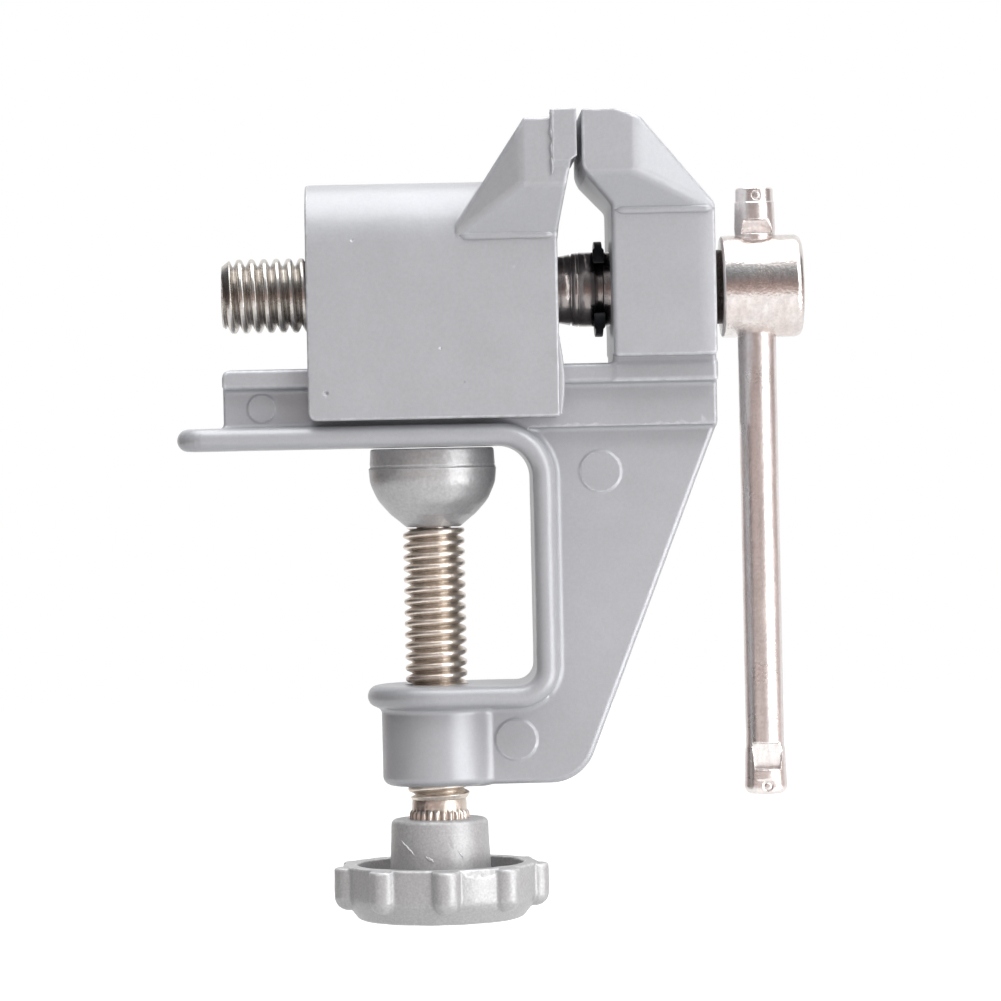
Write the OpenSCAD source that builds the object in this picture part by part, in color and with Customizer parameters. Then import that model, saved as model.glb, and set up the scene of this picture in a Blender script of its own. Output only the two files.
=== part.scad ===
// Small clamp-on table vise, drawn from the side with the jaws closed.
// The origin lies on the clamp screw's axis, at the underside of the top plate.
// X runs along the vise screw towards its handle, Y across the vise and Z up.

/* [Clamp frame] */
// Width of the flange that forms the top plate, the spine and the lower arm
flange_w = 20; // [18:0.5:24]
// Thickness of that flange
flange_t = 2.9; // [2.5:0.1:3.6]
// Reach of the top plate from the clamp screw to its free end
plate_reach = 32.3; // [29:0.5:38]
// Radius of the plate's free corners, seen from above
plate_corner_r = 4; // [3:0.5:6]
// Distance from the clamp screw to the inner face of the spine
throat_depth = 12.6; // [11:0.1:14]
// Clear height between the plate and the lower arm
throat_h = 30.3; // [27:0.1:34]
// Inner radius of the throat's upper corner
upper_corner_r = 4.1; // [3:0.1:5]
// Inner radius of the throat's lower corner
lower_corner_r = 2.2; // [1.5:0.1:3]
// Reach of the lower arm's round end beyond the clamp screw
arm_reach = 8.9; // [8.2:0.1:9.8]
// Thickness of the web behind the flange
web_t = 6.4; // [5:0.1:8]
// Width of the web where it leaves the spine at the bottom
web_foot = 2.9; // [2:0.1:5]
// Radius of the web's lower outer corner
web_corner_r = 6; // [4:0.5:8]
// Diameter of the boss that takes the clamp screw
boss_d = 14.3; // [13:0.1:16]
// Length of the boss below the lower arm
boss_l = 10; // [8:0.1:12]

/* [Slide rail] */
// Height of the rail's top above the plate's underside
rail_h = 10.4; // [9.6:0.1:11]
// Width of the rail's head
rail_w = 16; // [14:0.5:18]
// Thickness of the rail's head
rail_head_t = 2.7; // [2:0.1:3.2]
// Width of the rail's neck
rail_neck_w = 11; // [9:0.5:12]
// Reach of the rail from the clamp screw to its free end
rail_reach = 26.4; // [24:0.2:28]
// Sliding clearance round the rail
slide_gap = 0.2; // [0.1:0.05:0.4]

/* [Jaws] */
// Width of the jaws at their grips
jaw_w = 30; // [27:0.5:34]
// Width of the jaws' bodies
body_w = 22; // [20.5:0.5:24]
// Distance from the clamp screw to the fixed grip face
grip_x = 19.3; // [18.8:0.1:20.5]
// Gap between the grips when the vise is closed
closed_gap = 0.45; // [0.2:0.05:1]
// Height of the jaws' top above the plate's underside
jaw_top = 42.1; // [41:0.1:43]
// Height of the fixed grip face
grip_h = 7.1; // [5.5:0.1:8]
// How far the wall below the fixed grip stands back
fixed_setback = 3.8; // [3:0.1:4.4]
// Length of the fixed jaw below its grip
fixed_l = 13.3; // [12:0.1:15]
// Height of the fixed jaw's back edge
fixed_back_h = 29.9; // [28.5:0.1:31]
// Length of the sliding jaw's body
slide_l = 31.8; // [29:0.5:34]
// Height of the sliding jaw's rounded top
slide_top = 33.8; // [32.5:0.1:35]
// Radius of the sliding jaw's upper edges
slide_round_r = 8.6; // [6:0.1:9.5]
// Gap between the sliding jaw and the plate
slide_lift = 0.5; // [0.3:0.1:1]
// How far the sliding jaw's wall stands back below its grip
slide_setback = 2.55; // [1.8:0.05:3.2]
// Length of the sliding jaw's raised lip
lip_l = 3.15; // [2.5:0.05:4]
// Height of the lip above the sliding jaw's wings
lip_rise = 1; // [0.6:0.1:1.6]

/* [Vise screw] */
// Height of the screw's axis above the plate's underside
screw_z = 19.8; // [19.2:0.1:20.4]
// Outer diameter of the thread and of the journal
screw_d = 9.5; // [8.5:0.1:10]
// Length of the screw behind the sliding jaw
screw_tail = 10.9; // [10:0.1:13]
// Diameter of the head
head_d = 13.1; // [12:0.1:14]
// Length of the head
head_l = 10.4; // [9:0.1:12]
// Play between the head and the frame
head_play = 1; // [0.5:0.1:1.5]
// Outer diameter of the retaining clip
clip_d = 12.2; // [11.8:0.1:13]
// Thickness of the retaining clip
clip_t = 1; // [0.8:0.1:1.2]
// Play between the clip and the frame
clip_play = 0.9; // [0.4:0.1:1.4]
// Diameter of the groove that holds the clip
groove_d = 7.6; // [7:0.1:8]
// Radial clearance of a running fit
fit = 0.05; // [0.03:0.01:0.08]

/* [Handle bar] */
// Diameter of the bar
bar_d = 4.9; // [4.5:0.1:5.4]
// Length of the bar
bar_l = 77.7; // [65:0.2:90]
// Width across the ears of the staked ends
ear_w = 5.5; // [5.2:0.1:6]
// Thickness of the staked ends
ear_t = 4; // [3.4:0.1:4.4]
// Length of each staked end
ear_l = 6; // [5:0.1:7]
// Depth of the wedge pressed into each end
stake_depth = 1; // [0.6:0.1:1.3]

/* [Clamp screw and pad] */
// Outer diameter of the clamp thread
clamp_d = 7.9; // [7.5:0.1:8.4]
// Diameter of the pad
pad_d = 16.6; // [15:0.1:18]
// Height of the pad
pad_h = 10.1; // [9.4:0.1:11]
// Height of the pad's drum above its parting line
pad_drum_h = 2.4; // [1.8:0.1:3]
// Gap between the pad and the plate
pad_gap = 0.1; // [0.05:0.05:0.3]
// Diameter of the ball on the end of the clamp screw
ball_d = 6.2; // [5.8:0.1:6.6]
// Diameter of the neck below the ball
ball_neck_d = 4.4; // [4:0.1:4.6]
// Diameter of the plain neck above the knurl
clamp_neck_d = 7; // [6.5:0.1:7.4]
// Length of the thread and neck seen between the boss and the knob
clamp_tail = 4.3; // [3.6:0.1:6]

/* [Clamp knob] */
// Diameter over the finger lobes
knob_d = 27.9; // [26.5:0.1:30]
// Diameter of the rim between the lobes
rim_d = 24.9; // [24:0.1:26]
// Height of the rim
rim_h = 7.2; // [6:0.1:9]
// Diameter of the recess in the rim's top
recess_d = 21.4; // [20.5:0.1:22]
// Depth of that recess
recess_depth = 4.6; // [3:0.1:5]
// Upper diameter of the hub
hub_d = 12.4; // [11.5:0.1:13]
// Height of the hub above the rim
hub_rise = 5.7; // [4:0.1:7]
// Number of finger lobes
lobes = 9; // [6:1:12]
// Width of a finger lobe
lobe_w = 3.6; // [3:0.1:4.2]

/* [Hidden] */
$fn = 64;

// Overrun of a cut beyond the face that it opens
over = 1;
// Smallest chamfer on turned and cast edges
edge = 0.5;

// Places along X
fixed_wall_x = grip_x + fixed_setback;
back_x = fixed_wall_x + fixed_l;
slide_grip_x = grip_x - closed_gap;
slide_front_x = slide_grip_x - slide_setback;
slide_back_x = slide_front_x - slide_l;
lip_x = slide_grip_x - lip_l;
spine_x = throat_depth + flange_t;

// Places along Z
arm_z = -throat_h;
arm_under_z = arm_z - flange_t;
frame_bottom_z = arm_under_z - boss_l;
neck_z = flange_t * 0.75;
slide_bottom_z = flange_t + slide_lift;
rail_step_z = rail_h - rail_head_t;

// Fixed jaw: its flat top, its crest, the start of its slope and the drop of its wings' undersides
fixed_flat_share = 0.25;
fixed_crest_share = 0.445;
crest_drop = 1.3;
fixed_wing_share = 0.38;
fixed_wing_z = jaw_top - grip_h * 1.11;
fixed_body_z = fixed_back_h - edge;
jaw_foot_z = rail_h + edge;
grip_relief = 0.65;
relief_h = 1.5;

// Sliding jaw: where its slope starts, where its wings start, and its wings' undersides
slope_foot_x = slide_front_x - slide_l * 0.405;
slope_foot_z = slide_top - slide_round_r * 0.7;
slope_head_x = lip_x - lip_l * 1.1;
lip_top_z = jaw_top - edge * 0.3;
wing_top_z = lip_top_z - lip_rise;
slide_wing_z = wing_top_z - grip_h * 1.15;
slide_body_z = slope_foot_z - edge * 2.8;
lip_h = grip_h * 0.84;
lip_proud = 0.35;
front_relief = 0.75;

// Vise screw
head_x = back_x + head_play;
bar_x = head_x + head_l * 0.44;
clip_x = fixed_wall_x - clip_play - clip_t;
journal_x = slide_front_x + front_relief;
screw_end_x = slide_back_x - screw_tail;

// Handle bar, hanging from its upper ears on the head
bar_top_z = screw_z + head_d / 2 + ear_l + fit;
bar_bottom_z = bar_top_z - bar_l;

// Clamp screw and knob
pad_top_z = -pad_gap;
pad_r = pad_d / 2;
pad_bottom_z = pad_top_z - pad_h;
ball_z = pad_top_z - pad_h * 0.5;
hub_top_z = frame_bottom_z - clamp_tail;
rim_top_z = hub_top_z - hub_rise;
knob_bottom_z = rim_top_z - rim_h;

// Unit vector along v
function unit(v) = v / norm(v);

// Points of the arc that rounds corner b between its neighbours a and c
function corner_arc(a, b, c, r, steps) =
    let (u = unit(a - b), v = unit(c - b), half = acos(u * v) / 2)
    let (centre = b + unit(u + v) * r / sin(half), reach = r / tan(half))
    let (from = b + u * reach - centre, to = b + v * reach - centre)
    let (start = atan2(from.y, from.x), turn = atan2(to.y, to.x) - start)
    let (sweep = turn > 180 ? turn - 360 : turn < -180 ? turn + 360 : turn)
    [for (i = [0:steps]) let (t = start + sweep * i / steps) centre + r * [cos(t), sin(t)]];

// Outline with the corners in it rounded by the radii beside them, 0 for a sharp corner
function rounded(points, radii, steps = 5) = let (n = len(points))
    [for (i = [0:n - 1]) each radii[i] == 0 ? [points[i]]
        : corner_arc(points[(i + n - 1) % n], points[i], points[(i + 1) % n], radii[i], steps)];

// Both halves of an outline that is given for +X and mirrored to -X
function mirrored(points) =
    concat(points, [for (i = [len(points) - 1:-1:0]) [-points[i].x, points[i].y]]);

// Solid of an outline in X and Z, centred on Y = 0
module side_profile(points, width) {
    rotate([90, 0, 0]) linear_extrude(width, center = true) polygon(points);
}

// Solid of an outline in Y and Z, from x0 to x1
module end_profile(points, x0, x1) {
    translate([x0, 0, 0]) rotate([90, 0, 90]) linear_extrude(x1 - x0) polygon(points);
}

// Solid of an outline in X and Y, from z0 to z1
module plan_profile(points, z0, z1) {
    translate([0, 0, z0]) linear_extrude(z1 - z0) polygon(points);
}

// Cylinder along X, with its own diameters at both ends
module x_rod(x0, x1, d0, d1) {
    translate([x0, 0, screw_z]) rotate([0, 90, 0]) cylinder(x1 - x0, d1 = d0, d2 = d1);
}

// Solid turned about the vise screw's axis, from an outline of X and radius
module x_turned(points) {
    translate([0, 0, screw_z]) rotate([0, 90, 0])
        rotate_extrude() polygon([for (p = points) [p.y, p.x]]);
}

// Section of the flange: flat faces and half-round edges
module flange_section(half = false) {
    flat_w = flange_w - flange_t;
    intersection() {
        union() {
            square([flat_w, flange_t], center = true);
            for (side = [-1, 1]) translate([side * flat_w / 2, 0]) circle(d = flange_t);
        }
        if (half) translate([0, -flange_t]) square([flange_w, flange_t * 2]);
    }
}

// Straight run of the flange along X, with its underside at z
module flange_run(x0, x1, z) {
    translate([x0, 0, z + flange_t / 2]) rotate([90, 0, 90]) linear_extrude(x1 - x0) flange_section();
}

// Quarter bend of the flange about a corner of the throat
module flange_bend(x, z, inner_r, start) {
    translate([x, 0, z]) rotate([90, 0, 0]) rotate([0, 0, start]) rotate_extrude(angle = 90)
        translate([inner_r + flange_t / 2, 0]) rotate(90) flange_section();
}

// Free end of the plate: two round corners with a half-round edge between them
module plate_end() {
    corner_y = flange_w / 2 - plate_corner_r;
    x = plate_corner_r - plate_reach;
    nose_r = plate_corner_r - flange_t / 2;
    translate([x, 0, flange_t / 2]) {
        for (side = [0, 1]) mirror([0, side, 0]) translate([0, corner_y, 0])
            rotate([0, 0, 90]) rotate_extrude(angle = 90) {
                translate([0, -flange_t / 2]) square([nose_r, flange_t]);
                intersection() {
                    translate([nose_r, 0]) circle(d = flange_t);
                    translate([nose_r, -flange_t]) square([flange_t, flange_t * 2]);
                }
            }
        rotate([90, 0, 0]) linear_extrude(corner_y * 2, center = true) {
            translate([-nose_r, -flange_t / 2]) square([nose_r, flange_t]);
            intersection() {
                translate([-nose_r, 0]) circle(d = flange_t);
                translate([-nose_r - flange_t, -flange_t]) square([flange_t, flange_t * 2]);
            }
        }
    }
}

// The C-shaped flange: top plate, spine and lower arm in one sweep
module c_flange() {
    upper_x = throat_depth - upper_corner_r;
    lower_x = throat_depth - lower_corner_r;
    lower_z = arm_z + lower_corner_r;
    arm_x = flange_w / 2 - arm_reach;
    plate_end();
    flange_run(plate_corner_r - plate_reach, upper_x, 0);
    flange_bend(upper_x, -upper_corner_r, upper_corner_r, 0);
    translate([throat_depth + flange_t / 2, 0, lower_z])
        linear_extrude(-upper_corner_r - lower_z) rotate(90) flange_section();
    flange_bend(lower_x, lower_z, lower_corner_r, -90);
    flange_run(arm_x, lower_x, arm_under_z);
    translate([arm_x, 0, arm_z - flange_t / 2]) rotate([0, 0, 90])
        rotate_extrude(angle = 180) flange_section(half = true);
}

// The web that stiffens the flange, with its long oblique edge
module c_web() {
    mid_x = throat_depth + flange_t / 2;
    mid_z = arm_z - flange_t / 2;
    foot_x = spine_x + web_foot;
    bend_x = throat_depth - upper_corner_r;
    bend_r = upper_corner_r + flange_t / 2;
    side_profile(rounded([
        [0, frame_bottom_z], [foot_x, frame_bottom_z], [back_x, neck_z],
        [back_x, rail_step_z], [bend_x, rail_step_z], [bend_x, flange_t / 2],
        [bend_x + bend_r * cos(45), -upper_corner_r + bend_r * sin(45)], [mid_x, -upper_corner_r],
        [mid_x, mid_z], [0, mid_z]],
        [0, web_corner_r, edge, 0, 0, 0, 0, 0, 0, 0]), web_t);
}

// The boss round the clamp screw, with a rounded lower edge
module clamp_boss() {
    r = boss_d / 2;
    rotate_extrude() polygon(rounded([
        [0, frame_bottom_z], [r, frame_bottom_z], [r, arm_z - flange_t / 2], [0, arm_z - flange_t / 2]],
        [0, edge * 2.4, 0, 0]));
}

// The T-shaped slide rail, which runs on under the fixed jaw
module rail() {
    head = rail_w / 2;
    neck = rail_neck_w / 2;
    intersection() {
        end_profile(rounded(mirrored([[neck, neck_z], [neck, rail_step_z], [head, rail_step_z], [head, rail_h]]),
            [0, 0, edge, edge, edge, edge, 0, 0], 3), -rail_reach, back_x);
        side_profile(rounded([[-rail_reach, 0], [back_x, 0], [back_x, rail_h], [-rail_reach, rail_h]],
            [0, 0, 0, edge * 2.4]), rail_w);
    }
}

// The fixed jaw: a block that flares out into the grip's wings
module fixed_jaw() {
    top_l = fixed_setback + fixed_l;
    half_w = jaw_w / 2;
    half_b = body_w / 2;
    wing_x = grip_x + top_l * fixed_wing_share;
    intersection() {
        side_profile(rounded([
            [fixed_wall_x, rail_step_z], [back_x, rail_step_z], [back_x, fixed_back_h],
            [grip_x + top_l * fixed_crest_share, jaw_top - crest_drop],
            [grip_x + top_l * fixed_flat_share, jaw_top], [grip_x, jaw_top],
            [grip_x, jaw_top - grip_h], [grip_x + grip_relief, jaw_top - grip_h - relief_h],
            [fixed_wall_x, fixed_back_h]],
            [0, 0, edge * 2, edge * 3, edge * 3, edge, 0, 0, edge * 2]), jaw_w);
        plan_profile(rounded(
            [[grip_x, half_w], [wing_x, half_w], [back_x - edge, half_b], [back_x, half_b - edge],
             [back_x, edge - half_b], [back_x - edge, -half_b], [wing_x, -half_w], [grip_x, -half_w]],
            [edge, edge * 3, edge, 0, 0, edge, edge * 3, edge]), rail_step_z, jaw_top);
        end_profile(rounded(mirrored([
            [rail_w / 2, rail_step_z], [rail_w / 2, jaw_foot_z], [half_b, jaw_foot_z],
            [half_b, fixed_body_z], [half_w, fixed_wing_z], [half_w, jaw_top]]),
            [0, 0, edge, edge * 2, edge * 2, edge * 2, edge * 2, edge * 2, edge * 2, edge, 0, 0]),
            grip_x, back_x);
    }
}

// Round ejector marks that the casting die leaves on the front side
module ejector_marks() {
    mark_d = web_t * 0.82;
    mark_h = edge * 0.4;
    for (p = [[spine_x + web_t, -web_t * 0.55], [boss_d * 0.7, arm_under_z - boss_l * 0.43]])
        translate([p.x, -web_t / 2, p.y]) rotate([90, 0, 0]) cylinder(mark_h, d1 = mark_d, d2 = mark_d - mark_h);
    translate([-rail_reach + rail_head_t * 1.8, -rail_neck_w / 2, (flange_t + rail_step_z) / 2])
        rotate([90, 0, 0]) cylinder(mark_h, d1 = rail_head_t * 1.3, d2 = rail_head_t * 1.3 - mark_h);
}

// The frame casting with its two bores
module frame() color([0.70, 0.70, 0.71]) {
    difference() {
        union() {
            c_flange();
            c_web();
            clamp_boss();
            rail();
            fixed_jaw();
            ejector_marks();
        }
        x_rod(fixed_wall_x - over, back_x + over, screw_d + fit * 2, screw_d + fit * 2);
        x_rod(fixed_wall_x - edge, fixed_wall_x + edge, screw_d + fit * 2 + edge * 4, screw_d + fit * 2);
        translate([0, 0, frame_bottom_z - over])
            cylinder(boss_l + flange_t + over * 2, d = clamp_d + fit * 2);
    }
}

// Block of the sliding jaw with its rounded top
module slide_block() {
    half_b = body_w / 2;
    intersection() {
        end_profile(rounded(mirrored([[half_b, slide_bottom_z], [half_b, slide_top]]),
            [edge, slide_round_r, slide_round_r, edge], 10), slide_back_x, slide_front_x);
        side_profile(rounded([
            [slide_back_x, slide_bottom_z], [slide_front_x, slide_bottom_z],
            [slide_front_x, slide_top], [slide_back_x, slide_top]],
            [edge * 2.4, edge, 0, edge]), body_w);
    }
}

// Grip of the sliding jaw: wings that flare out of the block, and a raised lip
module slide_grip() {
    half_w = jaw_w / 2;
    half_b = body_w / 2;
    end_w = half_w + lip_proud;
    intersection() {
        side_profile(rounded([
            [slope_foot_x, slide_body_z - edge], [slope_foot_x, slope_foot_z],
            [slope_head_x, wing_top_z], [lip_x, wing_top_z], [lip_x, lip_top_z],
            [slide_grip_x, lip_top_z], [slide_grip_x, lip_top_z - lip_h],
            [slide_grip_x - front_relief, lip_top_z - lip_h - edge],
            [slide_front_x, slide_body_z], [slide_front_x, slide_body_z - edge]],
            [0, edge * 2, edge, 0, 0, 0, 0, 0, 0, 0]), end_w * 2);
        plan_profile([
            [slope_foot_x, half_b], [slope_head_x, half_w], [lip_x, half_w], [lip_x, end_w],
            [slide_grip_x, end_w], [slide_grip_x, -end_w], [lip_x, -end_w], [lip_x, -half_w],
            [slope_head_x, -half_w], [slope_foot_x, -half_b]], slide_bottom_z, lip_top_z);
        end_profile(rounded(mirrored([
            [half_b - edge, slide_body_z - edge], [half_b, slide_body_z], [end_w, slide_wing_z],
            [end_w, lip_top_z]]),
            [0, 0, edge * 2, edge, edge, edge * 2, 0, 0]), slope_foot_x, slide_grip_x);
    }
}

// The sliding jaw with its T-slot and its tapped bore
module sliding_jaw() color([0.72, 0.72, 0.73]) {
    slot_head = rail_w / 2 + slide_gap;
    slot_neck = rail_neck_w / 2 + slide_gap;
    bore_d = screw_d + fit * 2;
    difference() {
        union() {
            slide_block();
            slide_grip();
        }
        end_profile(mirrored([
            [slot_neck, slide_bottom_z - over], [slot_neck, rail_step_z - slide_gap],
            [slot_head, rail_step_z - slide_gap], [slot_head, rail_h + slide_gap]]),
            slide_back_x - over, slide_front_x + over);
        x_rod(slide_back_x - over, slide_front_x + over, bore_d, bore_d);
        x_rod(slide_back_x - edge, slide_back_x + edge, bore_d + edge * 4, bore_d);
        x_rod(slide_front_x - edge, slide_front_x + edge, bore_d, bore_d + edge * 4);
    }
}

// The vise screw: threaded shank, grooved journal and cross-drilled head
module vise_screw() color([0.72, 0.69, 0.66]) {
    r = screw_d / 2;
    groove_r = groove_d / 2;
    head_r = head_d / 2;
    difference() {
        x_turned([
            [screw_end_x, 0], [screw_end_x, r - edge * 2], [screw_end_x + edge * 2, r],
            [journal_x - edge * 3, r], [journal_x - edge * 2, r - edge], [journal_x, r - edge],
            [journal_x + edge * 3, r],
            [clip_x - fit, r], [clip_x - fit, groove_r], [clip_x + clip_t + fit, groove_r],
            [clip_x + clip_t + fit, r], [head_x, r], [head_x, head_r - edge],
            [head_x + edge, head_r], [head_x + head_l - edge, head_r],
            [head_x + head_l, head_r - edge], [head_x + head_l, 0]]);
        translate([bar_x, 0, screw_z]) cylinder(head_d + over * 2, d = bar_d + fit * 2, center = true);
    }
}

// Open spring clip with three inner prongs, seated in the journal's groove and open towards the front
module retaining_clip() color([0.12, 0.12, 0.13]) {
    ring_t = (clip_d - screw_d) / 2;
    prong_w = ring_t * 1.5;
    translate([clip_x, 0, screw_z]) rotate([90, 0, 90]) linear_extrude(clip_t) rotate(-90) difference() {
        circle(d = clip_d);
        circle(d = groove_d);
        difference() {
            circle(d = clip_d - ring_t * 1.3);
            for (a = [-15, 90, 195]) rotate(a)
                translate([groove_d / 4, -prong_w / 2]) square([clip_d, prong_w]);
        }
        translate([0, -clip_d / 2]) square([groove_d * 0.8, clip_d], center = true);
    }
}

// Staked end of the bar: ears pressed out sideways by a wedge in the front, deepest at its inner end
module staked_end() {
    wedge_l = ear_l * 0.62;
    difference() {
        intersection() {
            translate([0, 0, -edge]) cylinder(ear_l + edge, d = ear_w);
            translate([0, 0, ear_l / 2]) cube([ear_w, ear_t, ear_l], center = true);
            rotate_extrude() polygon([
                [0, 0], [bar_d / 2, 0], [ear_w / 2, edge], [ear_w / 2, ear_l - edge],
                [ear_w / 2 - edge, ear_l], [0, ear_l]]);
        }
        translate([0, -ear_t / 2, 0]) rotate([0, -90, 0]) linear_extrude(ear_w + over, center = true)
            polygon([[0, stake_depth], [0, -over], [wedge_l, -over], [wedge_l, stake_depth * 0.45]]);
    }
}

// The sliding handle bar
module handle_bar() color([0.76, 0.72, 0.70]) {
    translate([bar_x, 0, bar_bottom_z]) {
        translate([0, 0, ear_l]) cylinder(bar_l - ear_l * 2, d = bar_d);
        translate([0, 0, bar_l - ear_l]) staked_end();
        translate([0, 0, ear_l]) mirror([0, 0, 1]) staked_end();
    }
}

// The clamp screw: ball, neck, threaded shank, plain neck and the knurl that the knob grips
module clamp_screw() color([0.66, 0.60, 0.54]) {
    r = clamp_d / 2;
    ball_r = ball_d / 2;
    neck_r = ball_neck_d / 2;
    tail_r = clamp_neck_d / 2;
    shoulder_z = pad_bottom_z - edge;
    neck_top_z = ball_z - sqrt(ball_r * ball_r - neck_r * neck_r);
    thread_end_z = frame_bottom_z - clamp_tail * 0.4;
    knurl_z = frame_bottom_z - clamp_tail * 0.75;
    translate([0, 0, ball_z]) sphere(r = ball_r);
    rotate_extrude() polygon([
        [0, neck_top_z], [neck_r, neck_top_z], [neck_r, shoulder_z], [tail_r, shoulder_z],
        [r, shoulder_z - edge], [r, thread_end_z], [tail_r, thread_end_z - edge],
        [tail_r, knurl_z], [r - edge / 2, knurl_z], [r - edge / 2, knob_bottom_z + edge], [0, knob_bottom_z + edge]]);
}

// The swivel pad: a drum over a half ball, closed round the screw's ball
module clamp_pad() color([0.62, 0.62, 0.63]) {
    line_z = pad_top_z - pad_drum_h;
    line_h = edge * 0.3;
    difference() {
        union() {
            rotate_extrude() polygon([
                [0, line_z - line_h], [pad_r, line_z - line_h], [pad_r, line_z],
                [pad_r - edge * 0.2, line_z], [pad_r - edge, pad_top_z - edge * 0.6],
                [pad_r - edge * 1.6, pad_top_z], [0, pad_top_z]]);
            intersection() {
                translate([0, 0, line_z]) sphere(d = pad_d - edge * 0.2);
                translate([0, 0, pad_bottom_z]) cylinder(pad_h - pad_drum_h, d = pad_d);
            }
        }
        translate([0, 0, ball_z]) sphere(d = ball_d + fit * 2);
        translate([0, 0, pad_bottom_z - over]) cylinder(pad_h / 2 + over, d = ball_neck_d + fit * 2);
    }
}

// One finger lobe of the knob, round at its lower end
module finger_lobe() {
    lobe_r = lobe_w / 2;
    lobe_z = knob_bottom_z + edge * 3 + lobe_r;
    translate([knob_d / 2 - lobe_r, 0, lobe_z]) {
        cylinder(rim_top_z - edge * 0.6 - lobe_z, r = lobe_r);
        sphere(r = lobe_r);
    }
}

// The knob's rim with its lobes and the round recess in its top
module knob_rim(floor_z) {
    rim_r = rim_d / 2;
    first_lobe = 2.8 - 90;
    difference() {
        union() {
            rotate_extrude() polygon(rounded([
                [0, knob_bottom_z], [rim_r - edge * 4, knob_bottom_z], [rim_r, knob_bottom_z + edge * 5],
                [rim_r, rim_top_z], [0, rim_top_z]],
                [0, edge * 2, edge * 4, edge * 0.4, 0]));
            for (i = [0:lobes - 1]) rotate([0, 0, first_lobe + i * 360 / lobes]) finger_lobe();
        }
        rotate_extrude() polygon([
            [0, floor_z], [recess_d / 2 - edge, floor_z], [recess_d / 2, rim_top_z + over],
            [0, rim_top_z + over]]);
    }
}

// The clamp knob: the rim, a tapered hub that rises from its recess, and the bore for the knurl
module clamp_knob() color([0.66, 0.66, 0.67]) {
    floor_z = rim_top_z - recess_depth;
    hub_foot_d = hub_d + edge * 2;
    difference() {
        union() {
            knob_rim(floor_z);
            rotate_extrude() polygon(rounded([
                [0, floor_z - edge], [hub_foot_d / 2, floor_z - edge], [hub_d / 2, hub_top_z], [0, hub_top_z]],
                [0, 0, edge, 0]));
        }
        translate([0, 0, knob_bottom_z - over])
            cylinder(hub_top_z - knob_bottom_z + over * 2, d = clamp_d - edge);
    }
}

frame();
sliding_jaw();
vise_screw();
retaining_clip();
handle_bar();
clamp_screw();
clamp_pad();
clamp_knob();
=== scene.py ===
# Looks of the clamp-on table vise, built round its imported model.
# Each casting is the zero surface of a distance field, so its edges and fillets have true radii.

import math

import bpy
import numpy as np
from mathutils import Matrix, Vector


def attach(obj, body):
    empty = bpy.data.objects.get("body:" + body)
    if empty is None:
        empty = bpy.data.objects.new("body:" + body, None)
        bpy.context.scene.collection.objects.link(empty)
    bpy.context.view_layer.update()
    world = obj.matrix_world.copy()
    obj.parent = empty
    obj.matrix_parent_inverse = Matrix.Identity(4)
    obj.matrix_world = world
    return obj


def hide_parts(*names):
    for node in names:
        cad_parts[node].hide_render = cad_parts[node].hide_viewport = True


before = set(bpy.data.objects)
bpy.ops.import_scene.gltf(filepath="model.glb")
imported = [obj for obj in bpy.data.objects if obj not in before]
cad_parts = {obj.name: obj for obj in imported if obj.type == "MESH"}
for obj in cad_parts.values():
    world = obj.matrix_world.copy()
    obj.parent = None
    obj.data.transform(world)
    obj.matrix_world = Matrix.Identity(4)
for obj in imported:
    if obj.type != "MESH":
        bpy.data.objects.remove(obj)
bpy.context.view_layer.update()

MM = 0.001

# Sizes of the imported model, in millimetres
FLANGE_W = 20
FLANGE_T = 2.9
PLATE_REACH = 32.3
PLATE_CORNER_R = 4
THROAT_DEPTH = 12.6
THROAT_H = 30.3
UPPER_R = 4.1
LOWER_R = 2.2
ARM_REACH = 8.9
WEB_T = 6.4
WEB_FOOT = 2.9
WEB_CORNER_R = 6
BOSS_D = 14.3
BOSS_L = 10
RAIL_H = 10.4
RAIL_HEAD_T = 2.7
RAIL_W = 16
RAIL_NECK_W = 11
RAIL_REACH = 26.4
JAW_W = 30
BODY_W = 22
JAW_TOP = 42.1
GRIP_H = 7.1
GRIP_X = 19.3
FIXED_BACK_H = 29.9
FIXED_L = 13.3
FIXED_SETBACK = 3.8
SLIDE_L = 31.8
SLIDE_TOP = 33.8
SLIDE_ROUND_R = 8.6
SLIDE_SETBACK = 2.55
CLOSED_GAP = 0.45
LIP_L = 3.15
LIP_PROUD = 0.35
SCREW_Z = 19.8
SCREW_D = 9.5
SCREW_TAIL = 10.9
HEAD_D = 13.1
HEAD_L = 10.4
CLIP_D = 12.2
CLIP_T = 1.0
GROOVE_D = 7.6
BAR_D = 4.9
BAR_L = 77.7
EAR_L = 6
CLAMP_D = 7.9
PAD_D = 16.6
PAD_H = 10.1
BALL_D = 6.2
BALL_NECK_D = 4.4
KNOB_D = 27.9
RIM_D = 24.9
FIT = 0.05
SLOT_GAP = 0.2

# Threads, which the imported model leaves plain
VISE_PITCH = 1.5875
VISE_THREAD_H = 0.97
CLAMP_PITCH = 1.4111
CLAMP_THREAD_H = 0.88

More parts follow.
